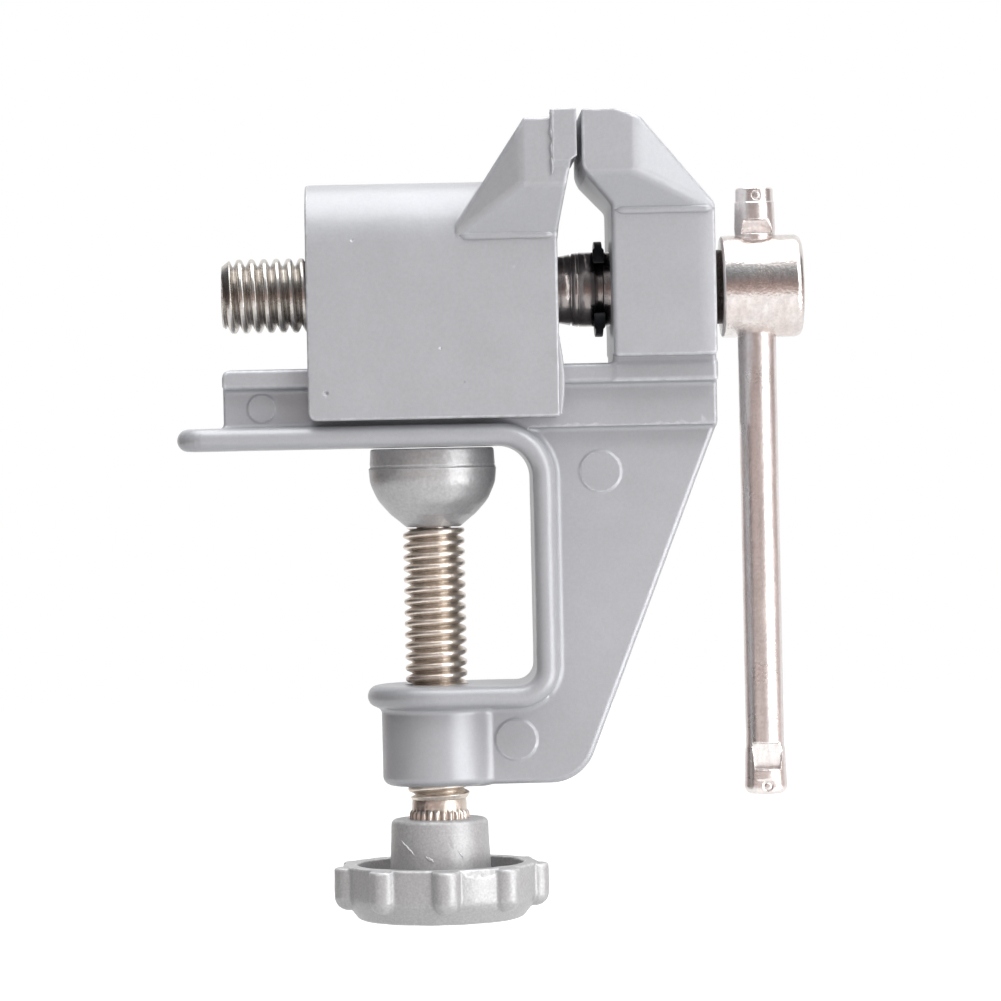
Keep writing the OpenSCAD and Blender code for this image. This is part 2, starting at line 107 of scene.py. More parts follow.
# Places along X and Z that several pieces share
WALL_X = GRIP_X + FIXED_SETBACK
BACK_X = WALL_X + FIXED_L
SLIDE_GRIP_X = GRIP_X - CLOSED_GAP
SLIDE_FRONT_X = SLIDE_GRIP_X - SLIDE_SETBACK
SLIDE_BACK_X = SLIDE_FRONT_X - SLIDE_L
LIP_X = SLIDE_GRIP_X - LIP_L
SCREW_END_X = SLIDE_BACK_X - SCREW_TAIL
HEAD_X = BACK_X + 1
BAR_X = HEAD_X + HEAD_L * 0.44
CLIP_X = WALL_X - 1.9
SPINE_X = THROAT_DEPTH + FLANGE_T
ARM_Z = -THROAT_H
FRAME_BOTTOM_Z = ARM_Z - FLANGE_T - BOSS_L
NECK_Z = FLANGE_T * 0.75
RAIL_STEP_Z = RAIL_H - RAIL_HEAD_T
SLIDE_BOTTOM_Z = FLANGE_T + 0.5
LIP_TOP_Z = JAW_TOP - 0.15
WING_TOP_Z = LIP_TOP_Z - 1
LIP_BOTTOM_Z = LIP_TOP_Z - GRIP_H * 0.84
GRIP_FOOT_Z = JAW_TOP - GRIP_H
HALF_W = JAW_W / 2
HALF_B = BODY_W / 2
HEAD_R = HEAD_D / 2
RIM_R = RIM_D / 2
PAD_R = PAD_D / 2
PAD_TOP_Z = -0.1
PAD_BOTTOM_Z = PAD_TOP_Z - PAD_H
BALL_Z = PAD_TOP_Z - PAD_H / 2
HUB_TOP_Z = FRAME_BOTTOM_Z - 4.3
RIM_TOP_Z = HUB_TOP_Z - 5.7
KNOB_BOTTOM_Z = RIM_TOP_Z - 7.2
BAR_TOP_Z = SCREW_Z + HEAD_D / 2 + EAR_L + FIT
BAR_BOTTOM_Z = BAR_TOP_Z - BAR_L


# Outlines

def corner_arc(a, b, c, r, steps):
    """Points of the arc that rounds corner b between its neighbours a and c."""
    a, b, c = (np.array(p, float) for p in (a, b, c))
    u = (a - b) / np.linalg.norm(a - b)
    v = (c - b) / np.linalg.norm(c - b)
    half = math.acos(float(np.clip(u @ v, -1, 1))) / 2
    middle = (u + v) / np.linalg.norm(u + v)
    centre = b + middle * r / math.sin(half)
    start = b + u * r / math.tan(half) - centre
    end = b + v * r / math.tan(half) - centre
    first = math.atan2(start[1], start[0])
    sweep = (math.atan2(end[1], end[0]) - first + math.pi) % (2 * math.pi) - math.pi
    angles = first + sweep * np.linspace(0, 1, steps + 1)
    return [tuple(centre + r * np.array([math.cos(t), math.sin(t)])) for t in angles]


def rounded(points, radii, steps=6):
    """Outline with the corners in it rounded by the radii beside them, 0 for a sharp corner."""
    out = []
    for i, r in enumerate(radii):
        if r:
            out += corner_arc(points[i - 1], points[i], points[(i + 1) % len(points)], r, steps)
        else:
            out.append(tuple(points[i]))
    return out


def mirrored(points):
    """Both halves of an outline that is given for the positive side."""
    return list(points) + [(-u, v) for u, v in reversed(points)]


# Distance fields

def outline(points, u, v):
    """Signed distance from the points u, v to a closed outline, negative inside."""
    best = None
    inside = None
    for i, (a0, a1) in enumerate(points):
        b0, b1 = points[i - 1]
        e0, e1 = b0 - a0, b1 - a1
        w0, w1 = u - a0, v - a1
        h = np.clip((w0 * e0 + w1 * e1) / (e0 * e0 + e1 * e1), 0, 1)
        d = (w0 - e0 * h) ** 2 + (w1 - e1 * h) ** 2
        above, below, left = v >= a1, v < b1, e0 * w1 > e1 * w0
        flip = (above & below & left) | (~above & ~below & ~left)
        best = d if best is None else np.minimum(best, d)
        inside = flip if inside is None else inside ^ flip
    return np.sqrt(best) * np.where(inside, -1.0, 1.0)


def join(a, b, r):
    """Both solids, with a fillet of radius r where they meet."""
    return np.maximum(r, np.minimum(a, b)) - np.hypot(np.maximum(r - a, 0), np.maximum(r - b, 0))


def common(a, b, r):
    """What two solids share, with an edge rounded by r."""
    return np.minimum(-r, np.maximum(a, b)) + np.hypot(np.maximum(r + a, 0), np.maximum(r + b, 0))


def cut(a, b, r):
    """The first solid without the second, with the edge rounded by r."""
    return common(a, -b, r)


def wave(x, y, z, size):
    """Smooth irregular values between about -1 and 1, with bumps of about the given size."""
    k = 2 * math.pi / size
    return (np.sin(k * (0.9 * x + 0.37 * y + 0.21 * z) + 1.3) * np.sin(k * (0.83 * z - 0.41 * x) + 0.4)
            + np.sin(k * (0.71 * y + 0.62 * z) + 2.1) * np.sin(k * (0.77 * x - 0.52 * z) + 4.4)) / 2


# Meshes

def surface(field, low, high, step):
    """Corners and quads of a field's zero surface, found on a grid and then moved onto the surface."""
    axes = [np.arange(a - 2 * step, b + 3 * step, step) for a, b in zip(low, high)]
    sizes = [len(a) for a in axes]
    grid = np.empty(sizes, np.float32)
    xs, ys, zs = axes[0][:, None, None], axes[1][None, :, None], axes[2][None, None, :]
    slab = 24
    for i in range(0, sizes[0], slab):
        grid[i:i + slab] = field(xs[i:i + slab], ys, zs)
    inside = grid < 0
    count = np.zeros([n - 1 for n in sizes], np.int8)
    corners = [(i, j, k) for i in (0, 1) for j in (0, 1) for k in (0, 1)]
    for i, j, k in corners:
        count += inside[i:sizes[0] - 1 + i, j:sizes[1] - 1 + j, k:sizes[2] - 1 + k]
    cells = np.argwhere((count > 0) & (count < 8))
    index = np.full(count.shape, -1, np.int32)
    index[tuple(cells.T)] = np.arange(len(cells))
    values = [grid[cells[:, 0] + i, cells[:, 1] + j, cells[:, 2] + k] for i, j, k in corners]
    total = np.zeros((len(cells), 3))
    hits = np.zeros(len(cells))
    for p in range(8):
        for q in range(p + 1, 8):
            a, b = np.array(corners[p], float), np.array(corners[q], float)
            if abs(a - b).sum() != 1:
                continue
            crossed = (values[p] < 0) != (values[q] < 0)
            gap = np.where(crossed, values[p] - values[q], 1)
            t = np.where(crossed, values[p] / gap, 0)
            total += crossed[:, None] * (a + t[:, None] * (b - a))
            hits += crossed
    origin = np.array([a[0] for a in axes])
    verts = origin + step * (cells + total / hits[:, None])
    quads = []
    for axis in range(3):
        near = [slice(None)] * 3
        far = [slice(None)] * 3
        near[axis], far[axis] = slice(None, -1), slice(1, None)
        edges = np.argwhere(inside[tuple(near)] != inside[tuple(far)])
        u, v = (axis + 1) % 3, (axis + 2) % 3
        around = []
        for du, dv in ((-1, -1), (0, -1), (0, 0), (-1, 0)):
            c = edges.copy()
            c[:, u] += du
            c[:, v] += dv
            around.append(index[tuple(c.T)])
        around = np.stack(around, 1)
        solid_first = inside[tuple(edges.T)]
        around[~solid_first] = around[~solid_first][:, ::-1]
        quads.append(around)
    quads = np.concatenate(quads)
    return settled(field, verts, step, 2), quads.tolist()


def gradient(field, verts, h):
    """Direction in which a field grows at each vertex."""
    x, y, z = verts.T
    return np.stack([field(x + h, y, z) - field(x - h, y, z), field(x, y + h, z) - field(x, y - h, z),
                     field(x, y, z + h) - field(x, y, z - h)], 1) / (2 * h)


def settled(field, verts, step, rounds):
    """Vertices moved along the gradient onto the zero surface."""
    for _ in range(rounds):
        slope = gradient(field, verts, 0.02)
        square = np.maximum((slope ** 2).sum(1), 0.25)
        move = field(*verts.T)[:, None] * slope / square[:, None]
        verts = verts - np.clip(move, -step / 2, step / 2)
    return verts


def mesh_object(name, verts, faces):
    """Object of the given corners, in millimetres, and faces."""
    me = bpy.data.meshes.new(name)
    me.from_pydata((verts * MM).tolist(), [], faces)
    me.validate()
    me.polygons.foreach_set("use_smooth", [True] * len(me.polygons))
    ob = bpy.data.objects.new(name, me)
    bpy.context.scene.collection.objects.link(ob)
    return ob


def thinned(ob, ratio):
    """Gives an object fewer faces, where its surface is flat first."""
    mod = ob.modifiers.new("thin", "DECIMATE")
    mod.ratio = ratio
    dg = bpy.context.evaluated_depsgraph_get()
    me = bpy.data.meshes.new_from_object(ob.evaluated_get(dg))
    ob.modifiers.clear()
    ob.data = me
    me.name = ob.name


def solid(name, field, low, high, step, ratio=1.0):
    """Piece made from a field, with true normals and its curvature kept as an attribute."""
    ob = mesh_object(name, *surface(field, low, high, step))
    if ratio < 1:
        thinned(ob, ratio)
    me = ob.data
    co = np.empty(len(me.vertices) * 3, np.float32)
    me.vertices.foreach_get("co", co)
    verts = settled(field, co.reshape(-1, 3).astype(float) / MM, step, 1)
    me.vertices.foreach_set("co", (verts * MM).ravel().astype(np.float32))
    me.polygons.foreach_set("use_smooth", [True] * len(me.polygons))
    slope = gradient(field, verts, 0.05)
    slope /= np.maximum(np.linalg.norm(slope, axis=1), 1e-6)[:, None]
    me.normals_split_custom_set_from_vertices(slope.tolist())
    reach = 0.3
    x, y, z = verts.T
    bend = (field(x + reach, y, z) + field(x - reach, y, z) + field(x, y + reach, z) + field(x, y - reach, z)
            + field(x, y, z + reach) + field(x, y, z - reach) - 6 * field(x, y, z)) / reach
    layer = me.attributes.new("bend", "FLOAT", "POINT")
    layer.data.foreach_set("value", np.clip(bend, -2, 2).astype(np.float32))
    me.update()
    return ob


def swept(name, rows):
    """Mesh of rings of equally many points, joined in order, with the end rings closed."""
    rows = np.asarray(rows, float)
    n, m = rows.shape[:2]
    base = np.arange(n * m).reshape(n, m)
    a, b = base[:-1], base[1:]
    quads = np.stack([a, np.roll(a, -1, 1), np.roll(b, -1, 1), b], -1).reshape(-1, 4)
    caps = [base[0][::-1].tolist(), base[-1].tolist()]
    return mesh_object(name, rows.reshape(-1, 3), quads.tolist() + caps)


# The frame casting

FLAT_HALF = FLANGE_W / 2 - FLANGE_T / 2
HALF_T = FLANGE_T / 2
UPPER_X = THROAT_DEPTH - UPPER_R
LOWER_X = THROAT_DEPTH - LOWER_R
BEND = (UPPER_R + HALF_T) * math.sqrt(0.5)
NOSE_X = HALF_T - PLATE_REACH
PLATE_PLAN = rounded([(NOSE_X, -FLAT_HALF), (UPPER_X, -FLAT_HALF), (UPPER_X, FLAT_HALF), (NOSE_X, FLAT_HALF)],
                     [PLATE_CORNER_R - HALF_T, 0, 0, PLATE_CORNER_R - HALF_T], 8)
WEB_SIDE = rounded([(0, FRAME_BOTTOM_Z), (SPINE_X + WEB_FOOT, FRAME_BOTTOM_Z), (BACK_X, NECK_Z),
                    (BACK_X, RAIL_STEP_Z), (UPPER_X, RAIL_STEP_Z), (UPPER_X, HALF_T),
                    (UPPER_X + BEND, BEND - UPPER_R), (SPINE_X - HALF_T, -UPPER_R),
                    (SPINE_X - HALF_T, ARM_Z - HALF_T), (0, ARM_Z - HALF_T)],
                   [0, WEB_CORNER_R, 0.5, 0, 0, 0, 0, 0, 0, 0], 10)
RAIL_END = rounded(mirrored([(RAIL_NECK_W / 2, NECK_Z), (RAIL_NECK_W / 2, RAIL_STEP_Z),
                             (RAIL_W / 2, RAIL_STEP_Z), (RAIL_W / 2, RAIL_H)]),
                   [0, 0.6, 0.7, 0.8, 0.8, 0.7, 0.6, 0])
RAIL_SIDE = rounded([(-RAIL_REACH, 0), (BACK_X, 0), (BACK_X, RAIL_H), (-RAIL_REACH, RAIL_H)], [0, 0, 0, 1.2])
TOP_L = FIXED_SETBACK + FIXED_L
JAW_SIDE = rounded([(WALL_X, RAIL_STEP_Z), (BACK_X, RAIL_STEP_Z), (BACK_X, FIXED_BACK_H),
                    (GRIP_X + TOP_L * 0.445, JAW_TOP - 1.3), (GRIP_X + TOP_L * 0.25, JAW_TOP),
                    (GRIP_X, JAW_TOP), (GRIP_X, GRIP_FOOT_Z), (GRIP_X + 0.65, GRIP_FOOT_Z - 1.5),
                    (WALL_X, FIXED_BACK_H)], [0, 0, 1.0, 1.5, 1.5, 0.5, 0, 0, 1.0])
WING_X = GRIP_X + TOP_L * 0.38
JAW_PLAN = rounded([(GRIP_X, HALF_W), (WING_X, HALF_W), (BACK_X, HALF_B - 0.25), (BACK_X, 0.25 - HALF_B),
                    (WING_X, -HALF_W), (GRIP_X, -HALF_W)], [0.5, 1.5, 0.6, 0.6, 1.5, 0.5])
FIXED_WING_Z = JAW_TOP - GRIP_H * 1.11
JAW_END = rounded(mirrored([(RAIL_W / 2, RAIL_STEP_Z), (RAIL_W / 2, 10.9), (HALF_B, 10.9), (HALF_B, 29.4),
                            (HALF_W, FIXED_WING_Z), (HALF_W, JAW_TOP)]),
                  [0, 0, 0.5, 1, 1, 0.5, 0.5, 1, 1, 0.5, 0, 0])
BORE_START_X = 20
BORE_TOP_Z = -29
# Place in X and Z, radius, distance of the face from the middle and height of each round ejector mark
EJECTOR_MARKS = (((21.4, -3.52), 2.62, WEB_T / 2, 0.15), ((10.0, -37.5), 2.62, WEB_T / 2, 0.2),
                 ((-21.5, 5.3), 1.75, RAIL_NECK_W / 2, 0.12))


def half_round(centre_distance, edge_y):
    """Distance to the flange, from the distances to its centre plane and past its flat part."""
    return np.hypot(centre_distance, edge_y) - HALF_T


def flange_field(x, y, z):
    """The C-shaped flange with its half-round edges."""
    edge_y = np.maximum(np.abs(y) - FLAT_HALF, 0)
    plate = half_round(z - HALF_T, np.maximum(outline(PLATE_PLAN, x, y), 0))
    out = np.maximum(np.maximum(UPPER_X - x, -UPPER_R - z), 0)
    upper = half_round(np.hypot(np.hypot(x - UPPER_X, z + UPPER_R) - UPPER_R - HALF_T, out), edge_y)
    out = np.maximum(np.maximum(z + UPPER_R, ARM_Z + LOWER_R - z), 0)
    spine = half_round(np.hypot(x - THROAT_DEPTH - HALF_T, out), edge_y)
    out = np.maximum(np.maximum(LOWER_X - x, z - ARM_Z - LOWER_R), 0)
    lower = half_round(np.hypot(np.hypot(x - LOWER_X, z - ARM_Z - LOWER_R) - LOWER_R - HALF_T, out), edge_y)
    arm_x = FLANGE_W / 2 - ARM_REACH
    plan = np.maximum(np.hypot(np.minimum(x - arm_x, 0), y) - FLAT_HALF, 0)
    arm = half_round(z - ARM_Z + HALF_T, np.hypot(plan, np.maximum(x - LOWER_X, 0)))
    return np.minimum(np.minimum(plate, upper), np.minimum(spine, np.minimum(lower, arm)))


def mark_field(x, y, z, centre, r, face_y, proud):
    """Round ejector mark that stands a little proud of a face on the front."""
    rim = np.hypot(x - centre[0], z - centre[1]) - r
    return common(rim, np.maximum(-y - face_y - proud, y + face_y - 1), proud)


def frame_field(x, y, z):
    """The frame: flange, web, boss, rail and fixed jaw, less the two bores."""
    web = common(outline(WEB_SIDE, x, z), np.abs(y) - WEB_T / 2, 0.8)
    d = join(flange_field(x, y, z), web, 1.0)
    boss = common(np.hypot(x, y) - BOSS_D / 2, np.maximum(FRAME_BOTTOM_Z - z, z - ARM_Z + HALF_T), 1.2)
    d = join(d, boss, 0.8)
    rail = common(outline(RAIL_END, y, z), outline(RAIL_SIDE, x, z), 0.5)
    d = join(d, rail, 0.6)
    jaw = common(outline(JAW_SIDE, x, z), outline(JAW_PLAN, x, y), 0.45)
    jaw = common(jaw, outline(JAW_END, y, z), 0.7)
    d = join(d, jaw, 0.5)
    for centre, r, face_y, proud in EJECTOR_MARKS:
        d = join(d, mark_field(x, y, z, centre, r, face_y, proud), 0.3)
    bore = np.hypot(y, z - SCREW_Z) - SCREW_D / 2 - FIT
    d = cut(d, np.maximum(bore, BORE_START_X - x), 0.2)
    d = cut(d, np.maximum(np.hypot(x, y) - CLAMP_D / 2 - FIT, z - BORE_TOP_Z), 0.2)
    return d + 0.02 * wave(x, y, z, 9) + 0.008 * wave(y, z, x, 3.1) + 0.03


# The sliding jaw

BLOCK_END = rounded(mirrored([(HALF_B, SLIDE_BOTTOM_Z), (HALF_B, SLIDE_TOP)]),
                    [0.5, SLIDE_ROUND_R, SLIDE_ROUND_R, 0.5], 40)
BLOCK_SIDE = rounded([(SLIDE_BACK_X, SLIDE_BOTTOM_Z), (SLIDE_FRONT_X, SLIDE_BOTTOM_Z),
                      (SLIDE_FRONT_X, SLIDE_TOP), (SLIDE_BACK_X, SLIDE_TOP)], [1.2, 0.5, 0, 0.5])
SLOPE_X = SLIDE_FRONT_X - SLIDE_L * 0.405
SLOPE_Z = SLIDE_TOP - SLIDE_ROUND_R * 0.7
FLARE_Z = SLOPE_Z - 1.4
CREST_X = LIP_X - LIP_L * 1.1
RELIEF_X = SLIDE_GRIP_X - 0.75
GRIP_SIDE = rounded([(SLOPE_X, FLARE_Z - 0.5), (SLOPE_X, SLOPE_Z), (CREST_X, WING_TOP_Z),
                     (LIP_X + 0.6, WING_TOP_Z), (RELIEF_X, LIP_BOTTOM_Z - 0.5), (SLIDE_FRONT_X, FLARE_Z),
                     (SLIDE_FRONT_X, FLARE_Z - 0.5)], [0, 1, 0.5, 0, 0.5, 0, 0])
GRIP_PLAN = rounded([(SLOPE_X, HALF_B), (CREST_X, HALF_W), (SLIDE_GRIP_X, HALF_W), (SLIDE_GRIP_X, -HALF_W),
                     (CREST_X, -HALF_W), (SLOPE_X, -HALF_B)], [0, 0.8, 0, 0, 0.8, 0])
SLIDE_WING_Z = WING_TOP_Z - GRIP_H * 1.15
GRIP_END = rounded(mirrored([(HALF_B - 0.5, FLARE_Z - 0.5), (HALF_B, FLARE_Z), (HALF_W, SLIDE_WING_Z),
                             (HALF_W, LIP_TOP_Z)]), [0, 0, 1, 0, 0, 1, 0, 0])
LIP_FOOT_Z = 33.4
LIP_END_Y = HALF_W + LIP_PROUD
LIP_SIDE = [(LIP_X, LIP_FOOT_Z + 0.6), (LIP_X, LIP_TOP_Z), (SLIDE_GRIP_X, LIP_TOP_Z),
            (SLIDE_GRIP_X, LIP_BOTTOM_Z), (RELIEF_X, LIP_BOTTOM_Z - 0.5), (RELIEF_X - 0.45, LIP_FOOT_Z)]
SLOT_NECK_Y = RAIL_NECK_W / 2 + SLOT_GAP
SLOT_HEAD_Y = RAIL_W / 2 + SLOT_GAP
SLOT_END = mirrored([(SLOT_NECK_Y, SLIDE_BOTTOM_Z - 1.4), (SLOT_NECK_Y, RAIL_STEP_Z - SLOT_GAP),
                     (SLOT_HEAD_Y, RAIL_STEP_Z - SLOT_GAP), (SLOT_HEAD_Y, RAIL_H + SLOT_GAP)])
# Place in X and Z and radius of each small pit in the block's front
PITS = ((-13.2, 7.0, 0.22), (-9.5, 26.2, 0.14), (1.3, 12.5, 0.12), (10.8, 22.5, 0.12), (4.2, 8.0, 0.1))


def slide_field(x, y, z):
    """The sliding jaw: block, flared grip and machined lip, less the T-slot and the bore."""
    block = common(outline(BLOCK_END, y, z), outline(BLOCK_SIDE, x, z), 0.35)
    grip = common(outline(GRIP_SIDE, x, z), outline(GRIP_PLAN, x, y), 0.5)
    grip = common(grip, outline(GRIP_END, y, z), 0.5)
    d = join(block, grip, 0.35)
    end_y = LIP_END_Y - 0.03 - np.maximum(LIP_FOOT_Z + 2.1 - z, 0) * 0.55
    lip = common(outline(LIP_SIDE, x, z), np.abs(y) - end_y, 0.08)
    d = join(d, lip, 0.1)
    d = cut(d, outline(SLOT_END, y, z), 0.15)
    bore = np.hypot(y, z - SCREW_Z) - SCREW_D / 2 - FIT
    d = cut(d, bore, 0.3)
    for px, pz, r in PITS:
        d = cut(d, np.hypot(np.hypot(x - px, z - pz), y + HALF_B) - r, 0.05)
    return d + 0.02 * wave(x, y, z, 8) + 0.007 * wave(y, z, x, 2.7) + 0.026


def flash(name, path, widths, thickness):
    """Thin ridge such as casting flash: an ellipse swept along points near a plane of constant y."""
    path = np.asarray(path, float)
    along = np.gradient(path, axis=0)
    along /= np.linalg.norm(along, axis=1)[:, None]
    across = np.stack([along[:, 2], np.zeros(len(path)), -along[:, 0]], 1)
    angles = np.arange(14) * 2 * math.pi / 14
    thick = np.minimum(thickness, np.asarray(widths))
    rows = [p + w * np.outer(np.cos(angles), n) + t * np.outer(np.sin(angles), [0, 1, 0])
            for p, n, w, t in zip(path, across, widths, thick)]
    return swept(name, rows)


def grip_burr(side):
    """Ragged burr that the milling of the lip leaves along its edge, on one side of the jaw."""
    z = np.linspace(LIP_FOOT_Z + 0.2, LIP_TOP_Z - 0.15, 60)
    x = LIP_X + 0.1 * wave(z, z, z, 3.1)
    y = np.full_like(z, side * (HALF_W + 0.04))
    swell = np.minimum(1, (z - LIP_FOOT_Z) / 0.8)
    widths = swell * (0.17 + 0.08 * wave(z, z, z, 2.3) + 0.04 * wave(z, z, z, 0.9))
    name = "grip_burr_front" if side < 0 else "grip_burr_back"
    return flash(name, np.stack([x, y, z], 1), widths, 0.24)


def side_bead(name, start, end, height, side):
    """Low round bead where a jaw's body meets its wings, on one side."""
    share = np.linspace(0, 1, 30)
    x = start + (end - start) * share
    y = np.full_like(x, side * (HALF_B - 0.12))
    path = np.stack([x, y, height + 0.04 * wave(x, share, share, 5)], 1)
    taper = np.minimum(1, np.minimum(share, 1 - share) * 12 + 0.15)
    return flash(name, path, 0.55 * taper, 0.5 * taper)


def block_flash():
    """Fin of flash at the lower front corner of the sliding jaw's block."""
    z = np.linspace(3.75, 13.6, 40)
    share = (z - z[0]) / (z[-1] - z[0])
    bulge = np.sin(math.pi * np.minimum(share * 1.6 + 0.3, 1 + share) / 2) ** 1.5
    x = SLIDE_FRONT_X - 0.12 + 0.1 * bulge
    y = np.full_like(z, 0.3 - HALF_B)
    widths = 0.1 + 0.52 * bulge + 0.03 * wave(z, z, z, 1.3)
    return flash("block_flash", np.stack([x, y, z], 1), widths, 0.24)


# The knob

KNOB_RIM = rounded([(0, KNOB_BOTTOM_Z), (RIM_R - 2, KNOB_BOTTOM_Z), (RIM_R, KNOB_BOTTOM_Z + 2.5),
                    (RIM_R, RIM_TOP_Z), (0, RIM_TOP_Z)], [0, 1.2, 2.4, 0.3, 0])
RECESS_Z = RIM_TOP_Z - 4.6
KNOB_RECESS = rounded([(-9, RECESS_Z), (10.2, RECESS_Z), (10.75, RIM_TOP_Z + 1), (-9, RIM_TOP_Z + 1)],
                      [0, 0.8, 0, 0])
HUB_R = 6.2
HUB_ROOT_Z = RECESS_Z - 0.5
KNOB_HUB = rounded([(0, HUB_ROOT_Z), (HUB_R + 0.5, HUB_ROOT_Z), (HUB_R, HUB_TOP_Z), (0, HUB_TOP_Z)],
                   [0, 0, 0.7, 0])
LOBES = 9
LOBE_R = 1.8
FIRST_LOBE = math.radians(2.8 - 90)
CHIP_ANGLE = math.radians(-65)
# Name, start and end in X and Z, and width of each scratch on the hub
SCRATCHES = (("scratch_long", (-5.0, -50.0), (-3.3, -51.8), 0.1),
             ("scratch_short", (-1.9, -52.0), (-0.9, -52.6), 0.14),
             ("scratch_pit", (2.3, -51.4), (2.9, -52.2), 0.05))


def knob_field(x, y, z):
    """The knob: lobed rim with a chip in it, recess and tapered hub."""
    rho = np.hypot(x, y)
    angle = np.arctan2(y, x)
    pitch = 2 * math.pi / LOBES
    near = (angle - FIRST_LOBE + pitch / 2) % pitch - pitch / 2
    side, out = rho * np.sin(near), rho * np.cos(near)
    lobe_z = KNOB_BOTTOM_Z + 1.5 + LOBE_R
    lobe = np.hypot(np.hypot(side, out - KNOB_D / 2 + LOBE_R), np.minimum(z - lobe_z, 0)) - LOBE_R
    lobe = common(lobe, z - RIM_TOP_Z + 0.15, 0.35)
    along = rho * (angle - CHIP_ANGLE)
    chip = np.hypot(np.hypot(along / 4.0, (rho - RIM_R - 0.75) / 0.97), (z - RIM_TOP_Z) / 1.7)
    rim = cut(outline(KNOB_RIM, rho, z), (chip - 1) * 0.8 + 0.05 * wave(x, y, z, 1.5), 0.05)
    d = join(rim, lobe, 0.22)
    d = cut(d, outline(KNOB_RECESS, rho, z), 0.25)
    d = join(d, outline(KNOB_HUB, rho, z), 0.6)
    return d + 0.03 * wave(x, y, z, 5) + 0.012 * wave(y, z, x, 1.6) + 0.042


def scratch(name, start, end, width):
    """Thin raised scratch on the front of the knob's hub, between two places in X and Z."""
    share = np.linspace(0, 1, 14)[:, None]
    flat = np.array(start) * (1 - share) + np.array(end) * share
    flat[:, 1] += 0.06 * np.sin(share[:, 0] * 19)
    hub_r = HUB_R + (HUB_TOP_Z - flat[:, 1]) * 0.048
    path = np.stack([flat[:, 0], -np.sqrt(hub_r ** 2 - flat[:, 0] ** 2), flat[:, 1]], 1)
    return flash(name, path, width * (0.25 + np.sin(share[:, 0] * math.pi)), 0.05)


# The pad

LINE_Z = PAD_TOP_Z - 2.4
SEAM_R = PAD_R - 0.08
MOUTH_TOP_Z = -7
PAD_OUTLINE = rounded([(0, PAD_BOTTOM_Z), (PAD_R * 0.415, PAD_BOTTOM_Z), (PAD_R * 0.65, -8.62),
                       (PAD_R * 0.848, -6.8), (PAD_R * 0.972, -4.5), (SEAM_R, LINE_Z),
                       (SEAM_R - 0.15, LINE_Z + 0.1), (SEAM_R - 0.3, PAD_TOP_Z), (0, PAD_TOP_Z)],
                      [0, 0.3, 3, 4.5, 4.5, 0, 0, 0.3, 0])


def pad_field(x, y, z):
    """The swivel pad, with the fine step of its mould seam and the mouth for the ball's neck."""
    rho = np.hypot(x, y)
    d = outline(PAD_OUTLINE, rho, z)
    crevice = np.hypot(rho - SEAM_R - 0.02, z - LINE_Z - 0.12 - 0.03 * wave(x, y, z, 4)) - 0.24
    d = cut(d, crevice, 0.05)
    d = cut(d, np.maximum(rho - BALL_NECK_D / 2 - FIT, z - MOUTH_TOP_Z), 0.15)
    return d + 0.02 * wave(x, y, z, 4) + 0.012 * wave(y, z, x, 1.3) + 0.03


def pad_nib():
    """Short nib of flash at the pad's seam, on the right."""
    share = np.linspace(0, 1, 8)
    angle = math.radians(-12)
    reach = SEAM_R - 0.5 + 0.5 * share
    path = np.stack([reach * math.cos(angle), reach * math.sin(angle), LINE_Z + 0.05 * share], 1)
    return flash("pad_nib", path, 0.16 - 0.1 * share, 0.3)


# Screws, clip and bar

THREAD_END_X = 15.6
# Tip, way out, radii of the ear at root and tip, its rounding, start and end of the wedge, its depths there
BAR_ENDS = ((BAR_TOP_Z, 1, 2.64, 2.4, 0.35, 4.2, 5.9, 0.4, 1.2),
            (BAR_BOTTOM_Z, -1, 2.5, 2.74, 1.0, 3.2, 6.5, 1.35, 0.75))


def thread_radius(phase, r, depth):
    """Radius of a rolled thread at a place along its turn: a round crest and a narrower round root."""
    away = np.abs(phase % 1.0 - 0.5) * 2
    return r - depth * (1 - np.cos(math.pi * away ** 1.65)) / 2


def thread_rows(start, end, r, depth, pitch, sides, along, chamfer_start=0.0, fade_end=0.0, root_end=0.0):
    """Rings of a right-hand thread from start to end along its axis, as place, angle and radius."""
    places = np.arange(start, end + 1e-6, pitch / along)
    angles = np.arange(sides) * 2 * math.pi / sides
    s, a = np.meshgrid(places, angles, indexing="ij")
    radius = thread_radius(s / pitch - a / (2 * math.pi), r, depth)
    if chamfer_start:
        radius = np.minimum(radius, r - depth * 0.9 + (s - start) * depth * 0.9 / chamfer_start)
    if fade_end:
        share = np.clip((end - s) / fade_end, 0, 1)
        radius = radius * share + (1 - share) * root_end
    return s, a, radius


def vise_thread():
    """The threaded end of the vise screw."""
    r = SCREW_D / 2
    s, a, radius = thread_rows(SCREW_END_X, THREAD_END_X, r, VISE_THREAD_H, VISE_PITCH, 96, 18,
                               chamfer_start=1.1, fade_end=1.6, root_end=r - 0.15)
    rows = np.stack([s, radius * np.cos(a), SCREW_Z + radius * np.sin(a)], -1)
    return depth_marked(swept("vise_thread", rows), (r - radius) / VISE_THREAD_H)


def depth_marked(ob, share):
    """Keeps each vertex's depth in the thread, 0 at a crest and 1 at a root, for the material."""
    layer = ob.data.attributes.new("root", "FLOAT", "POINT")
    layer.data.foreach_set("value", np.clip(share, 0, 1).ravel().astype(np.float32))
    return ob


def turned(name, points, sides, axis="x"):
    """Lathe piece about the vise screw's axis or the clamp screw's, from places and radii along it."""
    angles = np.arange(sides) * 2 * math.pi / sides
    if axis == "x":
        rows = [[(s, r * math.cos(a), SCREW_Z + r * math.sin(a)) for a in angles] for s, r in points]
    else:
        rows = [[(r * math.cos(a), r * math.sin(a), s) for a in angles] for s, r in points]
    return swept(name, rows)


